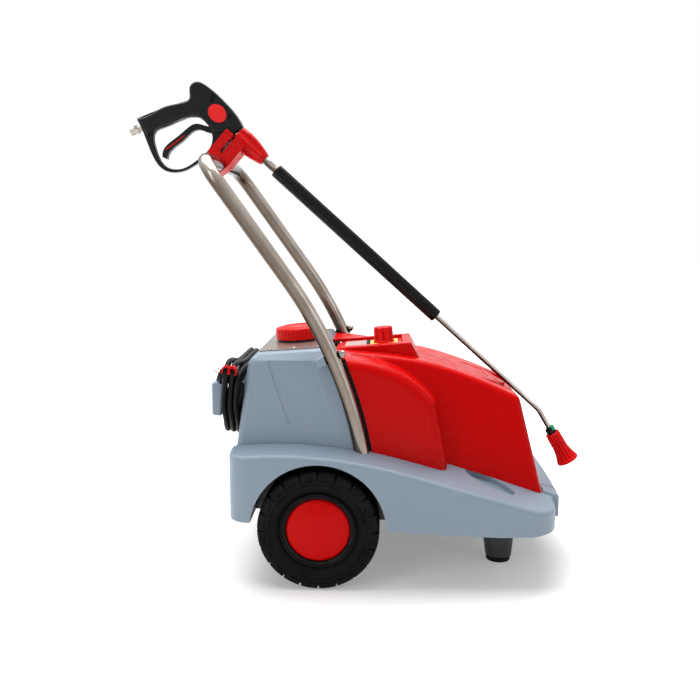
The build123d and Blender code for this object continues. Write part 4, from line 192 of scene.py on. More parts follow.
# Cosines between the surface's direction and its rounded one, where an edge's mask starts and is whole.
EDGE_STARTS, EDGE_WHOLE = 0.97, 0.75
FLAT_POINTINESS, VALLEY_POINTINESS = 0.5, 0.44
FACING_DOWN, FACING_UP = -0.25, 0.5
DUST_LIGHT = 0.35
# Painted shade: the near black laid inside the wheel arches.
PAINTED_SHADE_BLACK = (12, 12, 13)
# A Mix node's sockets for colours; its sockets for numbers go by the same names.
MIX_FIRST, MIX_SECOND, MIX_RESULT = 6, 7, 2


def shade(red, green, blue):
    """A colour written in screen values, as the linear colour that a shader takes."""
    return tuple((value / 255) ** SCREEN_GAMMA for value in (red, green, blue)) + (1.0,)


def dimmed(colour, part):
    """A part of the colour's light."""
    return tuple(part * channel for channel in colour[:3]) + (1.0,)


class Finish:
    """One material's node tree, with a call for each kind of node that the finishes share."""

    def __init__(self, name, metallic=0.0, specular=0.5):
        self.material = bpy.data.materials.new(name)
        self.material.use_nodes = True
        self.tree = self.material.node_tree
        self.tree.nodes.clear()
        out = self.tree.nodes.new("ShaderNodeOutputMaterial")
        self.shader = self.tree.nodes.new("ShaderNodeBsdfPrincipled")
        self.shader.inputs["Metallic"].default_value = metallic
        self.shader.inputs["Specular IOR Level"].default_value = specular
        self.tree.links.new(self.shader.outputs[0], out.inputs[0])
        self.position = self.tree.nodes.new("ShaderNodeTexCoord").outputs["Object"]
        self.last_bump = None

    def feed(self, socket, value):
        """Gives a socket a fixed value, or links another node's output to it."""
        if isinstance(value, bpy.types.NodeSocket):
            self.tree.links.new(value, socket)
        else:
            socket.default_value = value

    def noise(self, scale, detail=3.0, stretch=(1, 1, 1)):
        """Noise from 0 to 1, in features of about 1/scale metres, longer where stretch is small."""
        mapping = self.tree.nodes.new("ShaderNodeMapping")
        mapping.inputs["Scale"].default_value = stretch
        self.tree.links.new(self.position, mapping.inputs["Vector"])
        node = self.tree.nodes.new("ShaderNodeTexNoise")
        node.inputs["Scale"].default_value = scale
        node.inputs["Detail"].default_value = detail
        self.tree.links.new(mapping.outputs[0], node.inputs["Vector"])
        return node.outputs["Fac"]

    def span(self, value, low, high, start=0.0, end=1.0):
        """The value mapped from low..high to start..end, and held there."""
        node = self.tree.nodes.new("ShaderNodeMapRange")
        self.tree.links.new(value, node.inputs["Value"])
        for name, number in (("From Min", low), ("From Max", high), ("To Min", start), ("To Max", end)):
            node.inputs[name].default_value = number
        return node.outputs["Result"]

    def math(self, operation, first, second=0.0):
        node = self.tree.nodes.new("ShaderNodeMath")
        node.operation = operation
        self.feed(node.inputs[0], first)
        self.feed(node.inputs[1], second)
        return node.outputs[0]

    def mix(self, factor, first, second):
        """From the first colour to the second by the factor."""
        node = self.tree.nodes.new("ShaderNodeMix")
        node.data_type = "RGBA"
        self.feed(node.inputs["Factor"], factor)
        self.feed(node.inputs[MIX_FIRST], first)
        self.feed(node.inputs[MIX_SECOND], second)
        return node.outputs[MIX_RESULT]

    def colour(self, value):
        self.tree.links.new(value, self.shader.inputs["Base Color"])

    def roughness(self, value):
        self.tree.links.new(value, self.shader.inputs["Roughness"])

    def bump(self, height, depth, strength):
        """Raises the surface by the height times the depth in metres, on top of earlier bumps."""
        node = self.tree.nodes.new("ShaderNodeBump")
        node.inputs["Strength"].default_value = strength
        node.inputs["Distance"].default_value = depth
        self.tree.links.new(height, node.inputs["Height"])
        if self.last_bump:
            self.tree.links.new(self.last_bump, node.inputs["Normal"])
        self.last_bump = node.outputs[0]
        self.tree.links.new(self.last_bump, self.shader.inputs["Normal"])

    def rounded_normal(self, radius):
        """The surface's direction, as if its sharp edges were rounded off by the radius."""
        node = self.tree.nodes.new("ShaderNodeBevel")
        node.samples = BEVEL_SAMPLES
        node.inputs["Radius"].default_value = radius
        return node.outputs[0]

    def geometry(self, output):
        """One of the surface's own properties at the shaded point."""
        return self.tree.nodes.new("ShaderNodeNewGeometry").outputs[output]

    def part(self, vector, axis):
        """A vector's X, Y or Z."""
        parts = self.tree.nodes.new("ShaderNodeSeparateXYZ")
        self.tree.links.new(vector, parts.inputs[0])
        return parts.outputs[axis]

    def edges(self, radius):
        """1 on the object's sharp outer edges, falling to 0 about a radius away."""
        product = self.tree.nodes.new("ShaderNodeVectorMath")
        product.operation = "DOT_PRODUCT"
        self.tree.links.new(self.rounded_normal(radius), product.inputs[0])
        self.tree.links.new(self.geometry("Normal"), product.inputs[1])
        return self.span(product.outputs["Value"], EDGE_STARTS, EDGE_WHOLE)

    def valleys(self):
        """1 in the mesh's sharp creases, 0 on its flats and ridges; the mask for painted shade."""
        return self.span(self.geometry("Pointiness"), FLAT_POINTINESS, VALLEY_POINTINESS)

    def facing_up(self):
        """1 where the surface faces well up, 0 where it faces down; it places painted shade on undersides."""
        return self.span(self.part(self.geometry("Normal"), "Z"), FACING_DOWN, FACING_UP)


def moulded(
    name, colour, rubbed_and_highlight, roughness, grain=900.0, grain_depth=0.00006, specular=0.35, dust=0.03, edge_highlight=0.0,
    shaded_within=None, hollow_shade=0.0,
):
    """Moulded plastic: slightly uneven colour, fine grain, paler rubbed edges, a painted highlight along
    sharp edges, optional painted shade in sharp creases and where a given mask is 1, and light scuffs.
    """
    finish = Finish(name, specular=specular)
    finish.last_bump = finish.rounded_normal(EDGE_ROUNDING)
    dusty = tuple((1 - dust) * channel + dust * DUST_LIGHT for channel in colour[:3]) + (1.0,)
    uneven = finish.mix(finish.span(finish.noise(7.0), 0.35, 0.7, 0.0, 0.6), colour, dusty)
    specks = finish.span(finish.noise(420.0, 2.0), 0.62, 0.75, 0.0, 0.05)
    speckled = finish.mix(specks, uneven, rubbed_and_highlight)
    patches = finish.span(finish.noise(60.0, 4.0), 0.45, 0.62)
    wear = finish.math("MULTIPLY", finish.edges(0.0015), patches)
    worn = finish.mix(finish.math("MULTIPLY", wear, 0.55), speckled, rubbed_and_highlight)
    # Painted highlight: the paler colour laid along the sharp edges, by the given share.
    skin = finish.mix(finish.math("MULTIPLY", finish.edges(0.0018), edge_highlight), worn, rubbed_and_highlight)
    # Painted shade: darker in the mesh's sharp creases, by the given share.
    if hollow_shade:
        skin = finish.mix(finish.math("MULTIPLY", finish.valleys(), hollow_shade), skin, dimmed(colour, 0.25))
    # Painted shade: near black where the given mask is 1, as inside the wheel arches.
    if shaded_within:
        skin = finish.mix(shaded_within(finish), skin, shade(*PAINTED_SHADE_BLACK))
    finish.colour(skin)
    scuffs = finish.noise(36.0, 6.0, (1, 1, 3.5))
    finish.roughness(finish.span(scuffs, 0.3, 0.72, roughness - 0.06, roughness + 0.12))
    finish.bump(finish.noise(9.0, 1.0), 0.0016, 0.25)
    finish.bump(finish.noise(grain, 2.0), grain_depth, 0.8)
    return finish.material


def rubber(name, colour, dust):
    """Black rubber with a matt skin and pale dust in its low places."""
    finish = Finish(name, specular=0.12)
    patches = finish.span(finish.noise(24.0, 5.0), 0.5, 0.78, 0.0, 0.5)
    grime = finish.math("MULTIPLY", patches, finish.span(finish.noise(260.0, 2.0), 0.3, 0.7))
    edged = finish.mix(finish.math("MULTIPLY", finish.edges(0.002), 0.3), colour, shade(58, 58, 60))
    finish.colour(finish.mix(grime, edged, dust))
    finish.roughness(finish.span(finish.noise(40.0), 0.3, 0.7, 0.55, 0.8))
    finish.bump(finish.noise(700.0, 3.0), 0.00012, 0.8)
    return finish.material


def brushed(name, colour, dark, roughness, stretch, streaks=380.0):
    """Brushed stainless steel: fine streaks along one way, warm patches, and painted shade that darkens its
    underside.
    """
    finish = Finish(name, metallic=1.0)
    lines = finish.noise(streaks, 4.0, stretch)
    patches = finish.span(finish.noise(16.0, 4.0), 0.35, 0.75, 0.0, 0.6)
    toned = finish.mix(patches, colour, dark)
    streaked = finish.mix(finish.span(lines, 0.45, 0.75, 0.0, 0.25), toned, dark)
    # Painted shade: the steel darker where it faces down, lighter where it faces up.
    finish.colour(finish.mix(finish.facing_up(), dimmed(dark, 0.35), streaked))
    finish.roughness(finish.span(lines, 0.25, 0.8, roughness - 0.04, roughness + 0.1))
    finish.bump(lines, 0.000012, 0.3)
    return finish.material


def metal(name, colour, stain, roughness, grain=500.0, grain_depth=0.00005):
    """Plain machined, plated or cast metal with faint stains."""
    finish = Finish(name, metallic=1.0)
    stains = finish.span(finish.noise(45.0, 5.0), 0.45, 0.75, 0.0, 0.6)
    finish.colour(finish.mix(stains, colour, stain))
    finish.roughness(finish.span(finish.noise(90.0, 4.0), 0.3, 0.75, roughness - 0.08, roughness + 0.15))
    finish.bump(finish.noise(grain, 3.0), grain_depth, 0.7)
    return finish.material


def painted(name, colour, bare, roughness):
    """Powder coat: orange-peel skin, bare steel showing on knocked edges."""
    finish = Finish(name)
    chips = finish.math("MULTIPLY", finish.edges(0.0012), finish.span(finish.noise(130.0, 4.0), 0.52, 0.6))
    finish.colour(finish.mix(chips, colour, bare))
    finish.roughness(finish.span(finish.noise(30.0, 4.0), 0.3, 0.7, roughness - 0.05, roughness + 0.12))
    finish.bump(finish.noise(380.0, 1.0), 0.00015, 0.6)
    return finish.material


def sheathing(name, colour, dust):
    """The mains lead's smooth rubber sheath with a little dust."""
    finish = Finish(name, specular=0.12)
    finish.colour(finish.mix(finish.span(finish.noise(30.0, 4.0), 0.5, 0.8, 0.0, 0.5), colour, dust))
    finish.roughness(finish.span(finish.noise(60.0, 4.0), 0.3, 0.7, 0.3, 0.5))
    finish.bump(finish.noise(500.0, 2.0), 0.00008, 0.6)
    return finish.material


ARCH_REACH = 0.1485  # the wheel arches' radius
ARCH_HALF_WIDTH = 0.2775
ARCH_EDGE = 0.0004  # how wide the painted shade's edge blends


def arch_shade_mask(finish):
    """1 inside the wheel arches, where the chassis takes painted shade in near black, and 0 outside them."""
    along = finish.math("SUBTRACT", finish.part(finish.position, "X"), AXLE_X)
    up = finish.math("SUBTRACT", finish.part(finish.position, "Z"), AXLE_HEIGHT)
    squares = finish.math("ADD", finish.math("MULTIPLY", along, along), finish.math("MULTIPLY", up, up))
    near = finish.span(finish.math("SQRT", squares), ARCH_REACH, ARCH_REACH + ARCH_EDGE, 1.0, 0.0)
    across = finish.math("ABSOLUTE", finish.part(finish.position, "Y"))
    within = finish.span(across, ARCH_HALF_WIDTH, ARCH_HALF_WIDTH + ARCH_EDGE, 1.0, 0.0)
    return finish.math("MULTIPLY", near, within)


PLATES_BORDER = place(0.0985, 0, 0).x
PLATES_BLEND = 0.0005


def plates_material():
    """The console's plates: a yellow one under the knob, a grey one behind it."""
    finish = Finish("console_plate")
    along = finish.part(finish.position, "X")
    under_knob = finish.span(along, PLATES_BORDER - PLATES_BLEND, PLATES_BORDER + PLATES_BLEND)
    faded = finish.span(finish.noise(80.0), 0.4, 0.7, 0.0, 0.4)
    yellow = finish.mix(faded, shade(246, 208, 96), shade(236, 188, 78))
    stained = finish.span(finish.noise(60.0), 0.4, 0.7, 0.0, 0.5)
    grey = finish.mix(stained, shade(186, 160, 152), shade(160, 138, 132))
    finish.colour(finish.mix(under_knob, grey, yellow))
    finish.roughness(finish.span(finish.noise(110.0, 4.0), 0.3, 0.7, 0.28, 0.5))
    finish.bump(finish.noise(600.0), 0.00003, 0.5)
    return finish.material


# ---------------------------------------------------------------------------
# Materials, and the CAD nodes that take them
# ---------------------------------------------------------------------------

# The grey shells take a strong painted highlight along their sharp edges.
SHELL_GREY = dict(
    colour=shade(138, 154, 170), rubbed_and_highlight=shade(196, 208, 218), roughness=0.4, specular=0.5, edge_highlight=0.8,
)
blue_grey = moulded("blue_grey_plastic", **SHELL_GREY)
# The chassis takes painted shade inside its wheel arches.
chassis_grey = moulded("chassis_plastic", **SHELL_GREY, shaded_within=arch_shade_mask)
# The hood's red takes a painted highlight along its sharp edges and creases.
red = moulded(
    "red_plastic", shade(206, 0, 1), shade(238, 96, 90), 0.28, grain_depth=0.00001, specular=0.1, dust=0.001,
    edge_highlight=0.5,
)
red_matt = moulded(
    "red_matt_plastic", shade(212, 20, 22), shade(226, 74, 70), 0.42, 500.0, 0.00002, 0.15, dust=0.004,
)
# Its flutes take painted shade in their creases.
ribbed_red = moulded(
    "ribbed_red_plastic", shade(238, 22, 22), shade(232, 60, 56), 0.36, grain_depth=0.00002, specular=0.15,
    dust=0.002, hollow_shade=0.9,
)
cap_red = moulded(
    "cap_red_plastic", shade(210, 4, 7), shade(228, 60, 54), 0.34, grain_depth=0.00004, specular=0.1,
    dust=0.002,
)
black = moulded("black_plastic", shade(13, 13, 14), shade(38, 39, 41), 0.32, 600.0, 0.00005, 0.16, dust=0.002)
# The gun's black takes a painted highlight along its edges.
gun_black = moulded(
    "gun_black_plastic", shade(22, 23, 25), shade(84, 86, 88), 0.28, 800.0, 0.00002, 0.16, dust=0.002,
    edge_highlight=0.45,
)
rim_black = moulded(
    "rim_black_plastic", shade(7, 7, 8), shade(60, 60, 62), 0.16, grain_depth=0.00001, specular=0.14,
    dust=0.001,
)
# Painted shade: a near black for thin plates that stand for the gun's shallow slots.
slot_shade = moulded("slot_black_plastic", shade(3, 3, 3), shade(12, 12, 12), 0.6, specular=0.05, dust=0.001)
dark_grey = moulded("dark_grey_plastic", shade(60, 60, 64), shade(96, 96, 100), 0.5)
nylon = moulded("grey_plastic", shade(168, 168, 164), shade(196, 196, 192), 0.5)
badge_red = moulded(
    "badge_red_plastic", shade(246, 48, 50), shade(250, 100, 96), 0.4, specular=0.15, dust=0.004,
)
tag_green = moulded(
    "tag_green_plastic", shade(16, 158, 112), shade(70, 190, 150), 0.4, specular=0.2, dust=0.004,
)
tyre_rubber = rubber("tyre_rubber", shade(5, 5, 5), shade(20, 18, 17))
foot_rubber = rubber("foot_rubber", shade(22, 22, 22), shade(60, 56, 52))
seal_rubber = rubber("seal_rubber", shade(14, 14, 15), shade(44, 42, 40))
hose_rubber = rubber("hose_rubber", shade(26, 26, 28), shade(62, 60, 58))
lead_black = sheathing("lead_black", shade(4, 4, 5), shade(16, 15, 15))
tube_steel = brushed("stainless_tube", shade(186, 178, 170), shade(128, 112, 98), 0.17, (1, 1, 0.03), 160.0)
sheet_steel = brushed("stainless_sheet", shade(150, 144, 138), shade(112, 100, 90), 0.34, (1, 0.03, 1))
lance_steel = brushed("lance_steel", shade(214, 208, 202), shade(110, 96, 84), 0.16, (0.12, 1, 0.12), 160.0)
bright_steel = metal("bright_steel", shade(158, 152, 146), shade(104, 94, 84), 0.16)
zinc = metal("zinc_steel", shade(178, 180, 182), shade(120, 116, 110), 0.36)
cast_alloy = metal("cast_alloy", shade(158, 160, 164), shade(108, 108, 110), 0.5, 260.0, 0.0002)
brass = metal("brass", shade(206, 168, 98), shade(142, 106, 58), 0.32)
frame_paint = painted("painted_frame", shade(38, 39, 42), shade(128, 124, 120), 0.46)

# Every CAD node that is shown; the others have a piece made below in their place.
NODE_FINISHES = {
    "chassis": chassis_grey, "water_tank": blue_grey,
    "hood": red, "hood_seal": seal_rubber, "console_plates": plates_material(),
    "switch_body": black,
    "tyre_right": tyre_rubber, "tyre_left": tyre_rubber,
    "rim_right": rim_black, "rim_left": rim_black,
    "hub_cap_right": cap_red, "hub_cap_left": cap_red,
    "wheel_bushes_right": nylon, "wheel_bushes_left": nylon,
    "axle": zinc, "axle_fittings": zinc, "subframe": frame_paint, "frame_bolts": zinc,
    "foot_brackets": dark_grey, "foot_pads": foot_rubber,
    "handle_tube": tube_steel, "handle_washers": black, "handle_bolts": bright_steel,
    "plate_screws": bright_steel, "filler_neck": black, "float_valve": brass, "float_arm": red_matt,
    "motor_housing": cast_alloy, "motor_shaft": zinc, "fan_cowl": black, "terminal_box": black,
    "motor_mounts": zinc, "pump_crankcase": cast_alloy, "pump_head": brass, "unloader_valve": brass,
    "hose_couplings": brass, "water_hoses": hose_rubber, "pressure_pipe": bright_steel,
    "plug": black, "plug_pins": bright_steel, "cord_gland": black,
    "gun_shell_right": gun_black, "gun_shell_left": gun_black, "gun_badges": badge_red,
    "gun_trigger": gun_black, "trigger_latch": red_matt, "gun_valve": bright_steel, "gun_holder": red_matt,
    "coupling_nut": red_matt, "lance_tube": lance_steel, "lance_grip": black,
}

for name, material in NODE_FINISHES.items():
    nodes[name].data.materials.clear()
    nodes[name].data.materials.append(material)

# ---------------------------------------------------------------------------
# Mains lead: tail, six loose turns on the hooks, and the end in the plug
# ---------------------------------------------------------------------------

CABLE_RADIUS = 0.0065
LEAD_ORDER = 3  # a quadratic curve, so each corner's control points draw a round bend
LEAD_STEPS = 8
LEAD_ROUNDNESS = 6

WALL_LEAN = math.radians(8.35)
WALL_FOOT = (-0.184, 0.2813)  # the tank's rear wall, where it stands on the tray: X from the axle, and Z
COIL_LOW = 0.297

HALF_WIDTH = 0.1895  # the outermost turns' distance from the machine's middle
HEIGHTS = (0.0066, 0.1532)  # their foot and their top, up the wall from COIL_LOW
CORNER = 0.050  # how far from a corner the control points before and after it lie
TURN_START = -0.070  # where along the foot each turn starts
CROSSING = 0.060  # how far from the middle the control points of the top and of the far side's foot lie
UPPER_HALF = 0.0800  # where a turn lies further in, the points above this are lower and the others higher
BOWS_OUT = 0.002  # how far the near side bows outwards
BOW_HEIGHT = 0.45  # how far up the near side it does so
# From the gland up to the hooks, as X from the axle, Y and Z.
TAIL = ((-0.208, 0, 0.248), (-0.208, 0, 0.266), (-0.2075, -0.0052, 0.2853), (-0.207, -0.014, 0.301))
# Each turn's distance from the wall, and how far inside the outermost turns it lies.
TURNS = ((0.0272, 0.0), (0.0405, 0.0), (0.0338, 0.0118), (0.0205, 0.0118), (0.0138, 0.0), (0.0072, 0.0118))
# At which of its points on the far side each turn moves over to the next one's place.
MOVES_OVER = (7, 6, 4, 2, 1)
# Each turn's way round the near upper corner, as (across, up); the outer ones pass over the plug.
OVER_PLUG = (
    ((-0.210, 0.146), (-0.207, 0.169), (-0.166, 0.171)),
    ((-0.213, 0.146), (-0.209, 0.172), (-0.168, 0.176)),
    ((-0.178, 0.098), (-0.156, 0.120)),
    ((-0.178, 0.098), (-0.157, 0.120)),
    ((-0.2115, 0.126), (-0.208, 0.150), (-0.166, 0.158)),
)
# The last turn's end, up the wall to the plug, as (depth, across, up).
LAST_RISE = ((0.0072, -0.192, 0.090), (0.0070, -0.198, 0.108))

PRESSED = 0.0069  # how much nearer to the wall the bundle lies at its near lower corner
AT_WALL = 0.0066  # the least distance between the wall and a turn's middle
RIDDEN_DEPTH = 0.0070  # where a turn that finds no room lies instead, from the wall
RIDDEN_INSET = 0.0110  # and how much further in

PLUG_WAY = Vector((0.86, -0.27, -0.44)).normalized()  # from the plug's face to its neck
PLUG_FACE = place(-0.213, -0.182, 0.449)
PLUG_LENGTH = 0.046
# The lead's last points: along the plug from its neck, and in Y.
PLUG_ENTRY = ((0.005, -0.002), (0, 0), (-0.004, 0))


def pressed_in(depth, inset):
    """A turn's depth and inset at the corner where the bundle is pressed to the wall."""
    if depth - PRESSED < AT_WALL:
        return RIDDEN_DEPTH, inset + RIDDEN_INSET
    return depth - PRESSED, inset


def off_wall(depth, across, up):
    """A point beside the tank's leaning rear wall: its distance from it, its Y, and how far up it."""
    height = COIL_LOW + up * math.cos(WALL_LEAN)
    wall = WALL_FOOT[0] + (height - WALL_FOOT[1]) * math.tan(WALL_LEAN)
    return place(wall - depth * math.cos(WALL_LEAN), across, height + depth * math.sin(WALL_LEAN))


def near_side(depth, inset):
    """Control points along the foot and up the near side, as (depth, across, up)."""
    low, high = HEIGHTS[0] + inset, HEIGHTS[1] - inset
    corner_depth, corner_inset = pressed_in(depth, inset)
    corner_width = HALF_WIDTH - corner_inset
    corner_low = HEIGHTS[0] + corner_inset
    return [
        (depth, TURN_START, low),
        (corner_depth, CORNER - corner_width, corner_low),
        (corner_depth, -corner_width, corner_low + CORNER),
        (depth, inset - HALF_WIDTH - BOWS_OUT, low + BOW_HEIGHT * (high - low)),
    ]


def far_side(index):
    """Control points over the top and down the far side, on the way to the next turn's place."""
    depth, inset = TURNS[index]
    next_depth, next_inset = TURNS[index + 1]
    width = HALF_WIDTH - next_inset
    low, high = HEIGHTS[0] + next_inset, HEIGHTS[1] - next_inset
    outline = (
        (-CROSSING, high), (CROSSING, high), (width - CORNER, high), (width, high - CORNER),
        (width, (low + high) / 2), (width, low + CORNER), (width - CORNER, low), (CROSSING, low),
    )
    points = []
    for step, (across, up) in enumerate(outline):
        if step >= MOVES_OVER[index]:
            points.append((next_depth, across, up))
            continue
        further_in = inset - next_inset
        sideways = -further_in if across > CROSSING else 0.0
        upward = further_in if up < UPPER_HALF else -further_in
        points.append((depth, across + sideways, up + upward))
    return points


def lead_points():
    """The whole lead's control points, from the gland in the tray's wall to the plug."""
    beside_wall = []
    for index, (depth, inset) in enumerate(TURNS):
        beside_wall += near_side(depth, inset)
        if index < len(OVER_PLUG):
            beside_wall += [(depth, across, up) for across, up in OVER_PLUG[index]]
            beside_wall += far_side(index)
    neck = PLUG_FACE + PLUG_WAY * PLUG_LENGTH
    points = [place(*point) for point in TAIL]
    points += [off_wall(*point) for point in (*beside_wall, *LAST_RISE)]
    points += [neck + PLUG_WAY * along + Vector((0, y, 0)) for along, y in PLUG_ENTRY]
    return points


def make_lead():
    curve = bpy.data.curves.new("mains_lead", "CURVE")
    curve.dimensions = "3D"
    spline = curve.splines.new("NURBS")
    points = lead_points()
    spline.points.add(len(points) - 1)
    for control, point in zip(spline.points, points):
        control.co = (*point, 1.0)
    spline.order_u = LEAD_ORDER
    spline.use_endpoint_u = True
    spline.resolution_u = LEAD_STEPS
    curve.bevel_depth = CABLE_RADIUS
    curve.bevel_resolution = LEAD_ROUNDNESS
    curve.use_fill_caps = True
    curve.materials.append(lead_black)
    lead = link("mains_lead", curve)
    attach(lead, "machine")
    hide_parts("cord_coil", "cord_tail")
    return lead


lead = make_lead()

# ---------------------------------------------------------------------------
# Ways of making a piece
# ---------------------------------------------------------------------------

SAME_PLACE = 0.000001
BEVELLED_FROM = math.radians(35)
SHARP_FROM = math.radians(38)
FLUTE_CURVE = 1.6  # above 1, a flute is narrower than the rib beside it


def add_piece(name, points, faces, material, body, slot, bevel=0.0):
    """A closed mesh that rides on a body."""
    mesh = bpy.data.meshes.new(name)
    mesh.from_pydata([tuple(point) for point in points], [], faces)
    work = bmesh.new()
    work.from_mesh(mesh)
    bmesh.ops.remove_doubles(work, verts=work.verts, dist=SAME_PLACE)
    bmesh.ops.recalc_face_normals(work, faces=work.faces)
    work.to_mesh(mesh)
    work.free()
    mesh.materials.append(material)
    piece = link(name, mesh)
    if bevel:
        mesh.shade_smooth()
        rounding = piece.modifiers.new("rounding", "BEVEL")
        rounding.width = bevel
        rounding.segments = 3
        rounding.limit_method = "ANGLE"
        rounding.angle_limit = BEVELLED_FROM
        rounding.harden_normals = True
    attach(piece, body)
    return piece


def add_plate(name, outline, origin, across, up, depth, *riding, bevel=0.0):
    """An outline given along two directions from an origin, thickened along the third."""
    across, up = across.normalized(), up.normalized()
    out = across.cross(up) * depth
    near = [origin + across * first + up * second for first, second in outline]
    count = len(near)
    faces = [tuple(range(count)), tuple(range(count, 2 * count))]
    for index in range(count):
        after = (index + 1) % count
        faces.append((index, after, after + count, index + count))
    return add_piece(name, near + [point + out for point in near], faces, *riding, bevel=bevel)


def add_turned(name, profile, origin, axis, side, *riding, steps, ribs=0, sweep=math.tau, start=0.0):
    """A closed profile of (along, radius, flute) turned about an axis; flutes cut the radius between ribs."""
    axis = axis.normalized()
    side = (side - axis * side.dot(axis)).normalized()
    other = axis.cross(side)
    whole = sweep == math.tau
    rings = steps if whole else steps + 1
    points, faces = [], []
    for index in range(rings):
        angle = start + sweep * index / steps
        outward = side * math.cos(angle) + other * math.sin(angle)
        valley = (1 - abs(math.sin(ribs * angle / 2))) ** FLUTE_CURVE if ribs else 0.0
        for along, radius, flute in profile:
            points.append(origin + axis * along + outward * (radius - flute * valley))
    count = len(profile)
    solid = profile[0][1] == 0  # the profile starts and ends on the axis
    for index in range(steps):
        here, after = index * count, (index + 1) % rings * count
        for step in range(count - 1 if solid else count):
            beyond = (step + 1) % count
            faces.append((here + step, here + beyond, after + beyond, after + step))
    if not whole:
        faces += [tuple(range(count)), tuple(range(steps * count, rings * count))]
    piece = add_piece(name, points, faces, *riding)
    piece.data.shade_smooth()
    piece.data.set_sharp_from_angle(angle=SHARP_FROM)
    return piece


def arc(radii, start, end, steps, middle=0.0):
    """Points on a circle's or an ellipse's arc, from one angle in degrees to another."""
    angles = [math.radians(start + (end - start) * step / steps) for step in range(steps + 1)]
    return [(middle + radii[0] * math.cos(angle), radii[1] * math.sin(angle)) for angle in angles]


# ---------------------------------------------------------------------------
# Gun and nozzle
# ---------------------------------------------------------------------------

GUN_TILT = math.radians(42)
GUN_ALONG = Vector((math.cos(GUN_TILT), 0, -math.sin(GUN_TILT)))
GUN_UP = Vector((math.sin(GUN_TILT), 0, math.cos(GUN_TILT)))
GUN_ORIGIN = place(-0.1151, 0, 0.8903)
LANCE_BEND = 0.832
NOZZLE_TILT = math.radians(17)
NOZZLE_WAY = GUN_ALONG * math.cos(NOZZLE_TILT) - GUN_UP * math.sin(NOZZLE_TILT)
NOZZLE_SIDE = GUN_ALONG * math.sin(NOZZLE_TILT) + GUN_UP * math.cos(NOZZLE_TILT)
NOZZLE_ORIGIN = GUN_ORIGIN + GUN_ALONG * LANCE_BEND
NOZZLE_AXIS = (NOZZLE_ORIGIN, NOZZLE_WAY, NOZZLE_SIDE)

BELL = (
    (0.0662, 0.0125, 0), (0.0662, 0.0152, 0.0004), (0.0676, 0.0170, 0.0020), (0.078, 0.0172, 0.0042),
    (0.092, 0.0173, 0.0044), (0.105, 0.0176, 0.0045), (0.114, 0.0186, 0.0046), (0.122, 0.0202, 0.0046),
    (0.129, 0.0222, 0.0044), (0.1355, 0.0243, 0.0034), (0.1385, 0.0252, 0.0010), (0.1392, 0.0256, 0),
    (0.1420, 0.0262, 0), (0.1436, 0.0259, 0), (0.1440, 0.0248, 0), (0.1400, 0.0226, 0),
    (0.1300, 0.0170, 0), (0.1050, 0.0125, 0),
)
BELL_RIBS = 14
COLLAR = (
    (0.0500, 0.0062, 0), (0.0500, 0.0072, 0), (0.0590, 0.0074, 0), (0.0596, 0.0098, 0), (0.0606, 0.0108, 0),
    (0.0645, 0.0112, 0), (0.0657, 0.0104, 0), (0.0657, 0.0062, 0),
)
TAG = (
    (0.0480, 0.0076, 0), (0.0488, 0.0106, 0), (0.0505, 0.0116, 0), (0.0594, 0.0118, 0), (0.0604, 0.0110, 0),
    (0.0604, 0.0076, 0),
)
TAG_SWEEP = math.radians(95)
TAG_START = math.radians(-25)
NUB = ((0.0490, -0.0070), (0.0505, -0.0112), (0.0545, -0.0126), (0.0585, -0.0116), (0.0598, -0.0070))
NUB_ORIGIN = NOZZLE_ORIGIN - Vector((0, 0.005, 0))
NUB_DEPTH = 0.008

GUN_SLOTS = (  # along and up the gun, and length
    (-0.2125, 0.0255, 0.019), (-0.2075, 0.0265, 0.015), (-0.1560, 0.0200, 0.010), (-0.1515, 0.0205, 0.006),
)
SLOT_SLANT = math.radians(111)
SLOT_RADIUS = 0.0011
SLOT_SHEET = 0.0007
SLOT_FACES = (("right", -0.0173), ("left", 0.0180))
LATCH_STRIP = (
    (-0.2075, -0.0800), (-0.2052, -0.0800), (-0.2120, -0.1120), (-0.2170, -0.1345), (-0.2197, -0.1330),
    (-0.2150, -0.1120),
)
LATCH_SHEET = 0.0008
LATCH_FACES = (("right", -0.0080), ("left", 0.0088))


def on_gun(along, up, y):
    return GUN_ORIGIN + GUN_ALONG * along + GUN_UP * up + Vector((0, y, 0))


def make_nozzle():
    """The fluted bell round the spray nozzle, the black ring behind it, and the ring's green tag and nub."""
    bell = add_turned(
        "nozzle_bell", BELL, *NOZZLE_AXIS, ribbed_red, "nozzle", "red_plastic", ribs=BELL_RIBS,
        steps=16 * BELL_RIBS,
    )
    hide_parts("nozzle_cone")
    ring = add_turned("nozzle_collar", COLLAR, *NOZZLE_AXIS, black, "gun", "black_plastic", steps=64)
    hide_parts("nozzle_ring")
    add_turned(
        "nozzle_tag_green", TAG, *NOZZLE_AXIS, tag_green, "gun", "black_plastic", steps=16, sweep=TAG_SWEEP,
        start=TAG_START,
    )
    add_plate(
        "nozzle_nub", NUB, NUB_ORIGIN, NOZZLE_WAY, NOZZLE_SIDE, NUB_DEPTH, black, "gun", "black_plastic",
        bevel=0.0012,
    )


def make_latch_strips():
    """The red strips that the trigger's latch shows on both sides of the trigger."""
    for side, y in LATCH_FACES:
        add_plate(
            "latch_strip_" + side, LATCH_STRIP, on_gun(0, 0, y), GUN_ALONG, GUN_UP, LATCH_SHEET, red_matt,
            "latch", "red_plastic", bevel=0.0002,
        )


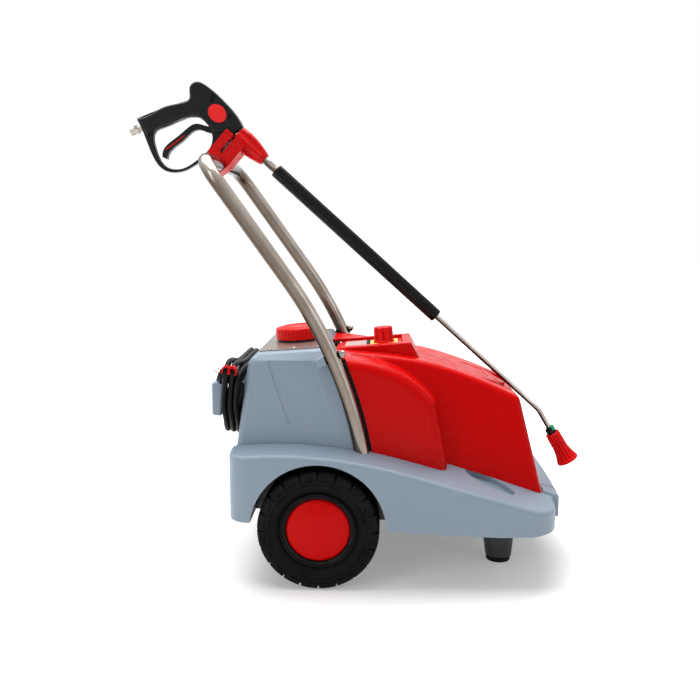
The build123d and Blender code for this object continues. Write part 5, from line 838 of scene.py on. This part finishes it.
def make_gun_slots():
    """Thin black plates on both faces of the gun: painted shade that reads as its shallow slots."""
    along_slot = GUN_ALONG * math.cos(SLOT_SLANT) + GUN_UP * math.sin(SLOT_SLANT)
    across_slot = GUN_UP * math.cos(SLOT_SLANT) - GUN_ALONG * math.sin(SLOT_SLANT)
    ends = (SLOT_RADIUS, SLOT_RADIUS)
    for side, y in SLOT_FACES:
        for index, (along, up, length) in enumerate(GUN_SLOTS):
            slot = arc(ends, 90, 270, 6, -length / 2) + arc(ends, -90, 90, 6, length / 2)
            add_plate(
                "gun_slot_%s_%d" % (side, index), slot, on_gun(along, up, y), along_slot, across_slot,
                SLOT_SHEET, slot_shade, "gun", "black_plastic",
            )


# ---------------------------------------------------------------------------
# Tank, its cap, and what holds the mains lead
# ---------------------------------------------------------------------------

# The clip's arches, from the side: half an ellipse outside, half an ellipse inside, on straight feet.
CLIP_OUTER = (0.0092, 0.0118)
CLIP_INNER = (0.0060, 0.0064)
CLIP_FEET = ((0.0096, -0.0075), (-0.0096, -0.0075), (-0.0064, -0.0075), (0.0064, -0.0075))
CLIP_DEPTHS = (("inner", TURNS[0][0]), ("outer", TURNS[1][0]))  # as the turns that they hold
CLIP_UP = 0.1600
CLIP_FRONT = -0.2195
CLIP_WIDTH = 0.0135

HOOK_ACROSS = 0.150
# Outlines from the side, as X from the axle and Z, with half the width and the rounding.
HOOK_FORMS = (
    ("flange", ((-0.2405, 0.3535), (-0.2195, 0.3505), (-0.2125, 0.4310), (-0.2395, 0.4270)), 0.028, 0.0055),
    ("arm", ((-0.2270, 0.3560), (-0.1755, 0.3560), (-0.1680, 0.4090), (-0.2260, 0.4090)), 0.017, 0.0030),
)

TANK_TILT = math.radians(4)  # how much the tank's top rises forwards
TANK_TOP_ALONG = Vector((math.cos(TANK_TILT), 0, math.sin(TANK_TILT)))
TANK_TOP_UP = Vector((-math.sin(TANK_TILT), 0, math.cos(TANK_TILT)))
PLATE_X = place(-0.061, 0, 0).x
PLATE_REAR, PLATE_FRONT, PLATE_HALF_WIDTH = 0.0785, 0.0645, 0.155  # from the middle of its hole
PLATE_HOLE = 0.0505
PLATE_SHEET = 0.0015
PLATE_STEPS = 180
PLATE_SQUARENESS = 40  # the power that draws its outline: 2 is an ellipse, this nearly a rectangle

CAP_X = place(-0.0614, 0, 0).x
CAP_RADIUS = 0.0575
CAP = (
    (0.0050, 0, 0), (0.0050, 0.0500, 0), (0, 0.0505, 0), (0, 0.0566, 0), (0.0010, CAP_RADIUS, 0.0013),
    (0.0205, 0.0573, 0.0013), (0.0235, 0.0569, 0.0004), (0.0256, 0.0556, 0), (0.0266, 0.0535, 0),
    (0.0270, 0.0450, 0), (0.0288, 0.0432, 0), (0.0292, 0.0415, 0), (0.0292, 0.0345, 0),
    (0.0284, 0.0332, 0), (0.0276, 0.0325, 0), (0.0272, 0.0160, 0), (0.0272, 0, 0),
)
CAP_RIBS = 36


def make_clip():
    """The red clip whose two arches hold the outer turns beside the plug."""
    outward = Vector((-math.cos(WALL_LEAN), 0, math.sin(WALL_LEAN)))
    upward = Vector((math.sin(WALL_LEAN), 0, math.cos(WALL_LEAN)))
    outside, inside = arc(CLIP_OUTER, 0, 180, 18), arc(CLIP_INNER, 180, 0, 18)
    outline = [CLIP_FEET[0], *outside, *CLIP_FEET[1:3], *inside, CLIP_FEET[3]]
    for side, depth in CLIP_DEPTHS:
        saddle = add_plate(
            "cord_saddle_" + side, outline, off_wall(depth, CLIP_FRONT, CLIP_UP), outward, upward, CLIP_WIDTH,
            red_matt, "machine", "red_plastic", bevel=0.0006,
        )
    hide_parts("cord_clip")


def make_hooks():
    """The two cable hooks on the tank's rear wall: an arm and a rounded upright flange on each."""
    for side, across in (("right", -HOOK_ACROSS), ("left", HOOK_ACROSS)):
        for form, outline, half, bevel in HOOK_FORMS:
            hook = add_plate(
                "cable_hook_%s_%s" % (form, side), outline, place(0, across - half, 0), Vector((1, 0, 0)),
                Vector((0, 0, 1)), -2 * half, blue_grey, "machine", "blue_grey_plastic", bevel=bevel,
            )
    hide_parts("cable_hooks")


def make_tank_plate():
    """The stainless plate on the tank's top, with the filler's hole through it."""
    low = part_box("tank_top_plate")[0]
    middle = Vector((PLATE_X, 0, low.z + PLATE_FRONT * math.sin(TANK_TILT)))
    points, faces = [], []
    for height in (0, PLATE_SHEET):
        for index in range(PLATE_STEPS):
            angle = math.tau * index / PLATE_STEPS
            forward, sideways = math.cos(angle), math.sin(angle)
            half_length = PLATE_FRONT if forward > 0 else PLATE_REAR
            shares = (abs(forward / half_length), abs(sideways / PLATE_HALF_WIDTH))
            reach = sum(share ** PLATE_SQUARENESS for share in shares) ** (-1 / PLATE_SQUARENESS)
            outward = TANK_TOP_ALONG * forward + Vector((0, sideways, 0))
            points += [middle + TANK_TOP_UP * height + outward * radius for radius in (PLATE_HOLE, reach)]
    top = 2 * PLATE_STEPS
    for index in range(PLATE_STEPS):
        here, after = 2 * index, 2 * ((index + 1) % PLATE_STEPS)
        faces += [
            (here, here + 1, after + 1, after), (here + top, after + top, after + 1 + top, here + 1 + top),
            (here, after, after + top, here + top), (here + 1, here + 1 + top, after + 1 + top, after + 1),
        ]
    plate = add_piece("tank_plate_sheet", points, faces, sheet_steel, "machine", "stainless")
    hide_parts("tank_top_plate")


def make_filler_cap():
    """The tank's red screw cap: a ribbed skirt and a raised disc with a sunk middle."""
    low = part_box("filler_cap")[0]
    base = Vector((CAP_X, 0, low.z + CAP_RADIUS * math.sin(TANK_TILT)))
    cap = add_turned(
        "filler_cap_cover", CAP, base, TANK_TOP_UP, Vector((0, 1, 0)), ribbed_red, "cap", "red_plastic",
        ribs=CAP_RIBS, steps=8 * CAP_RIBS,
    )
    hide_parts("filler_cap")


# ---------------------------------------------------------------------------
# Console and wheels
# ---------------------------------------------------------------------------

CONSOLE_TILT = math.atan2(16, 197)  # the console's top rises 16 mm in 197 mm
CONSOLE_ALONG = Vector((math.cos(CONSOLE_TILT), 0, math.sin(CONSOLE_TILT)))
CONSOLE_UP = Vector((-math.sin(CONSOLE_TILT), 0, math.cos(CONSOLE_TILT)))
STRIP_PLACE = place(0.0992, 0, 0.4915)
STRIP_HALF_LENGTH, STRIP_HALF_WIDTH = 0.0042, 0.0385
STRIP_SHEET = 0.0014

KNOB_X = place(0.136, 0, 0).x
KNOB_FOOT = 0.0381  # how far its foot lies below the CAD knob's highest point
KNOB = (
    (0, 0, 0), (0, 0.0225, 0), (0.0006, 0.0240, 0), (0.0030, 0.0243, 0), (0.0042, 0.0236, 0),
    (0.0052, 0.0232, 0.0026), (0.0310, 0.0229, 0.0032), (0.0342, 0.0222, 0.0028), (0.0356, 0.0208, 0.0010),
    (0.0360, 0.0190, 0), (0.0350, 0.0176, 0), (0.0346, 0.0100, 0), (0.0346, 0, 0),
)
KNOB_RIBS = 8

RIM_RIDGES = (
    (-0.0020, 0.0702, 0), (0.0003, 0.0706, 0), (0.0006, 0.0724, 0), (0.0024, 0.0734, 0), (0.0030, 0.0747, 0),
    (0.0022, 0.0760, 0), (0.0006, 0.0768, 0), (0.0006, 0.0782, 0), (0.0022, 0.0790, 0), (0.0028, 0.0801, 0),
    (0.0016, 0.0812, 0), (-0.0006, 0.0818, 0), (-0.0020, 0.0818, 0),
)


def make_console_strip():
    """A black strip between the console's two plates."""
    length, width = STRIP_HALF_LENGTH, STRIP_HALF_WIDTH
    outline = ((-length, -width), (length, -width), (length, width), (-length, width))
    add_plate(
        "console_strip", outline, STRIP_PLACE, CONSOLE_ALONG, Vector((0, 1, 0)), STRIP_SHEET, seal_rubber,
        "machine", "black_plastic", bevel=0.0003,
    )


def make_knob():
    """The switch's fluted knob on its round foot."""
    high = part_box("switch_knob")[1]
    knob = add_turned(
        "switch_knob_cover", KNOB, Vector((KNOB_X, 0, high.z - KNOB_FOOT)), CONSOLE_UP, Vector((1, 0, 0)),
        ribbed_red, "knob", "red_plastic", ribs=KNOB_RIBS, steps=24 * KNOB_RIBS,
    )
    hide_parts("switch_knob")


def make_rim_rings():
    """The two glossy ridges round each hub cap."""
    for side, facing in (("right", -1), ("left", 1)):
        low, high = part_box("rim_" + side)
        face = low.y if facing < 0 else high.y
        add_turned(
            "rim_ring_" + side, RIM_RIDGES, Vector((AXLE_X, face, AXLE_HEIGHT)), Vector((0, facing, 0)),
            Vector((1, 0, 0)), rim_black, "wheel_" + side, "black_plastic", steps=128,
        )


make_nozzle()
make_clip()
make_tank_plate()
make_rim_rings()
make_filler_cap()
make_knob()
make_hooks()
make_latch_strips()
make_gun_slots()
make_console_strip()
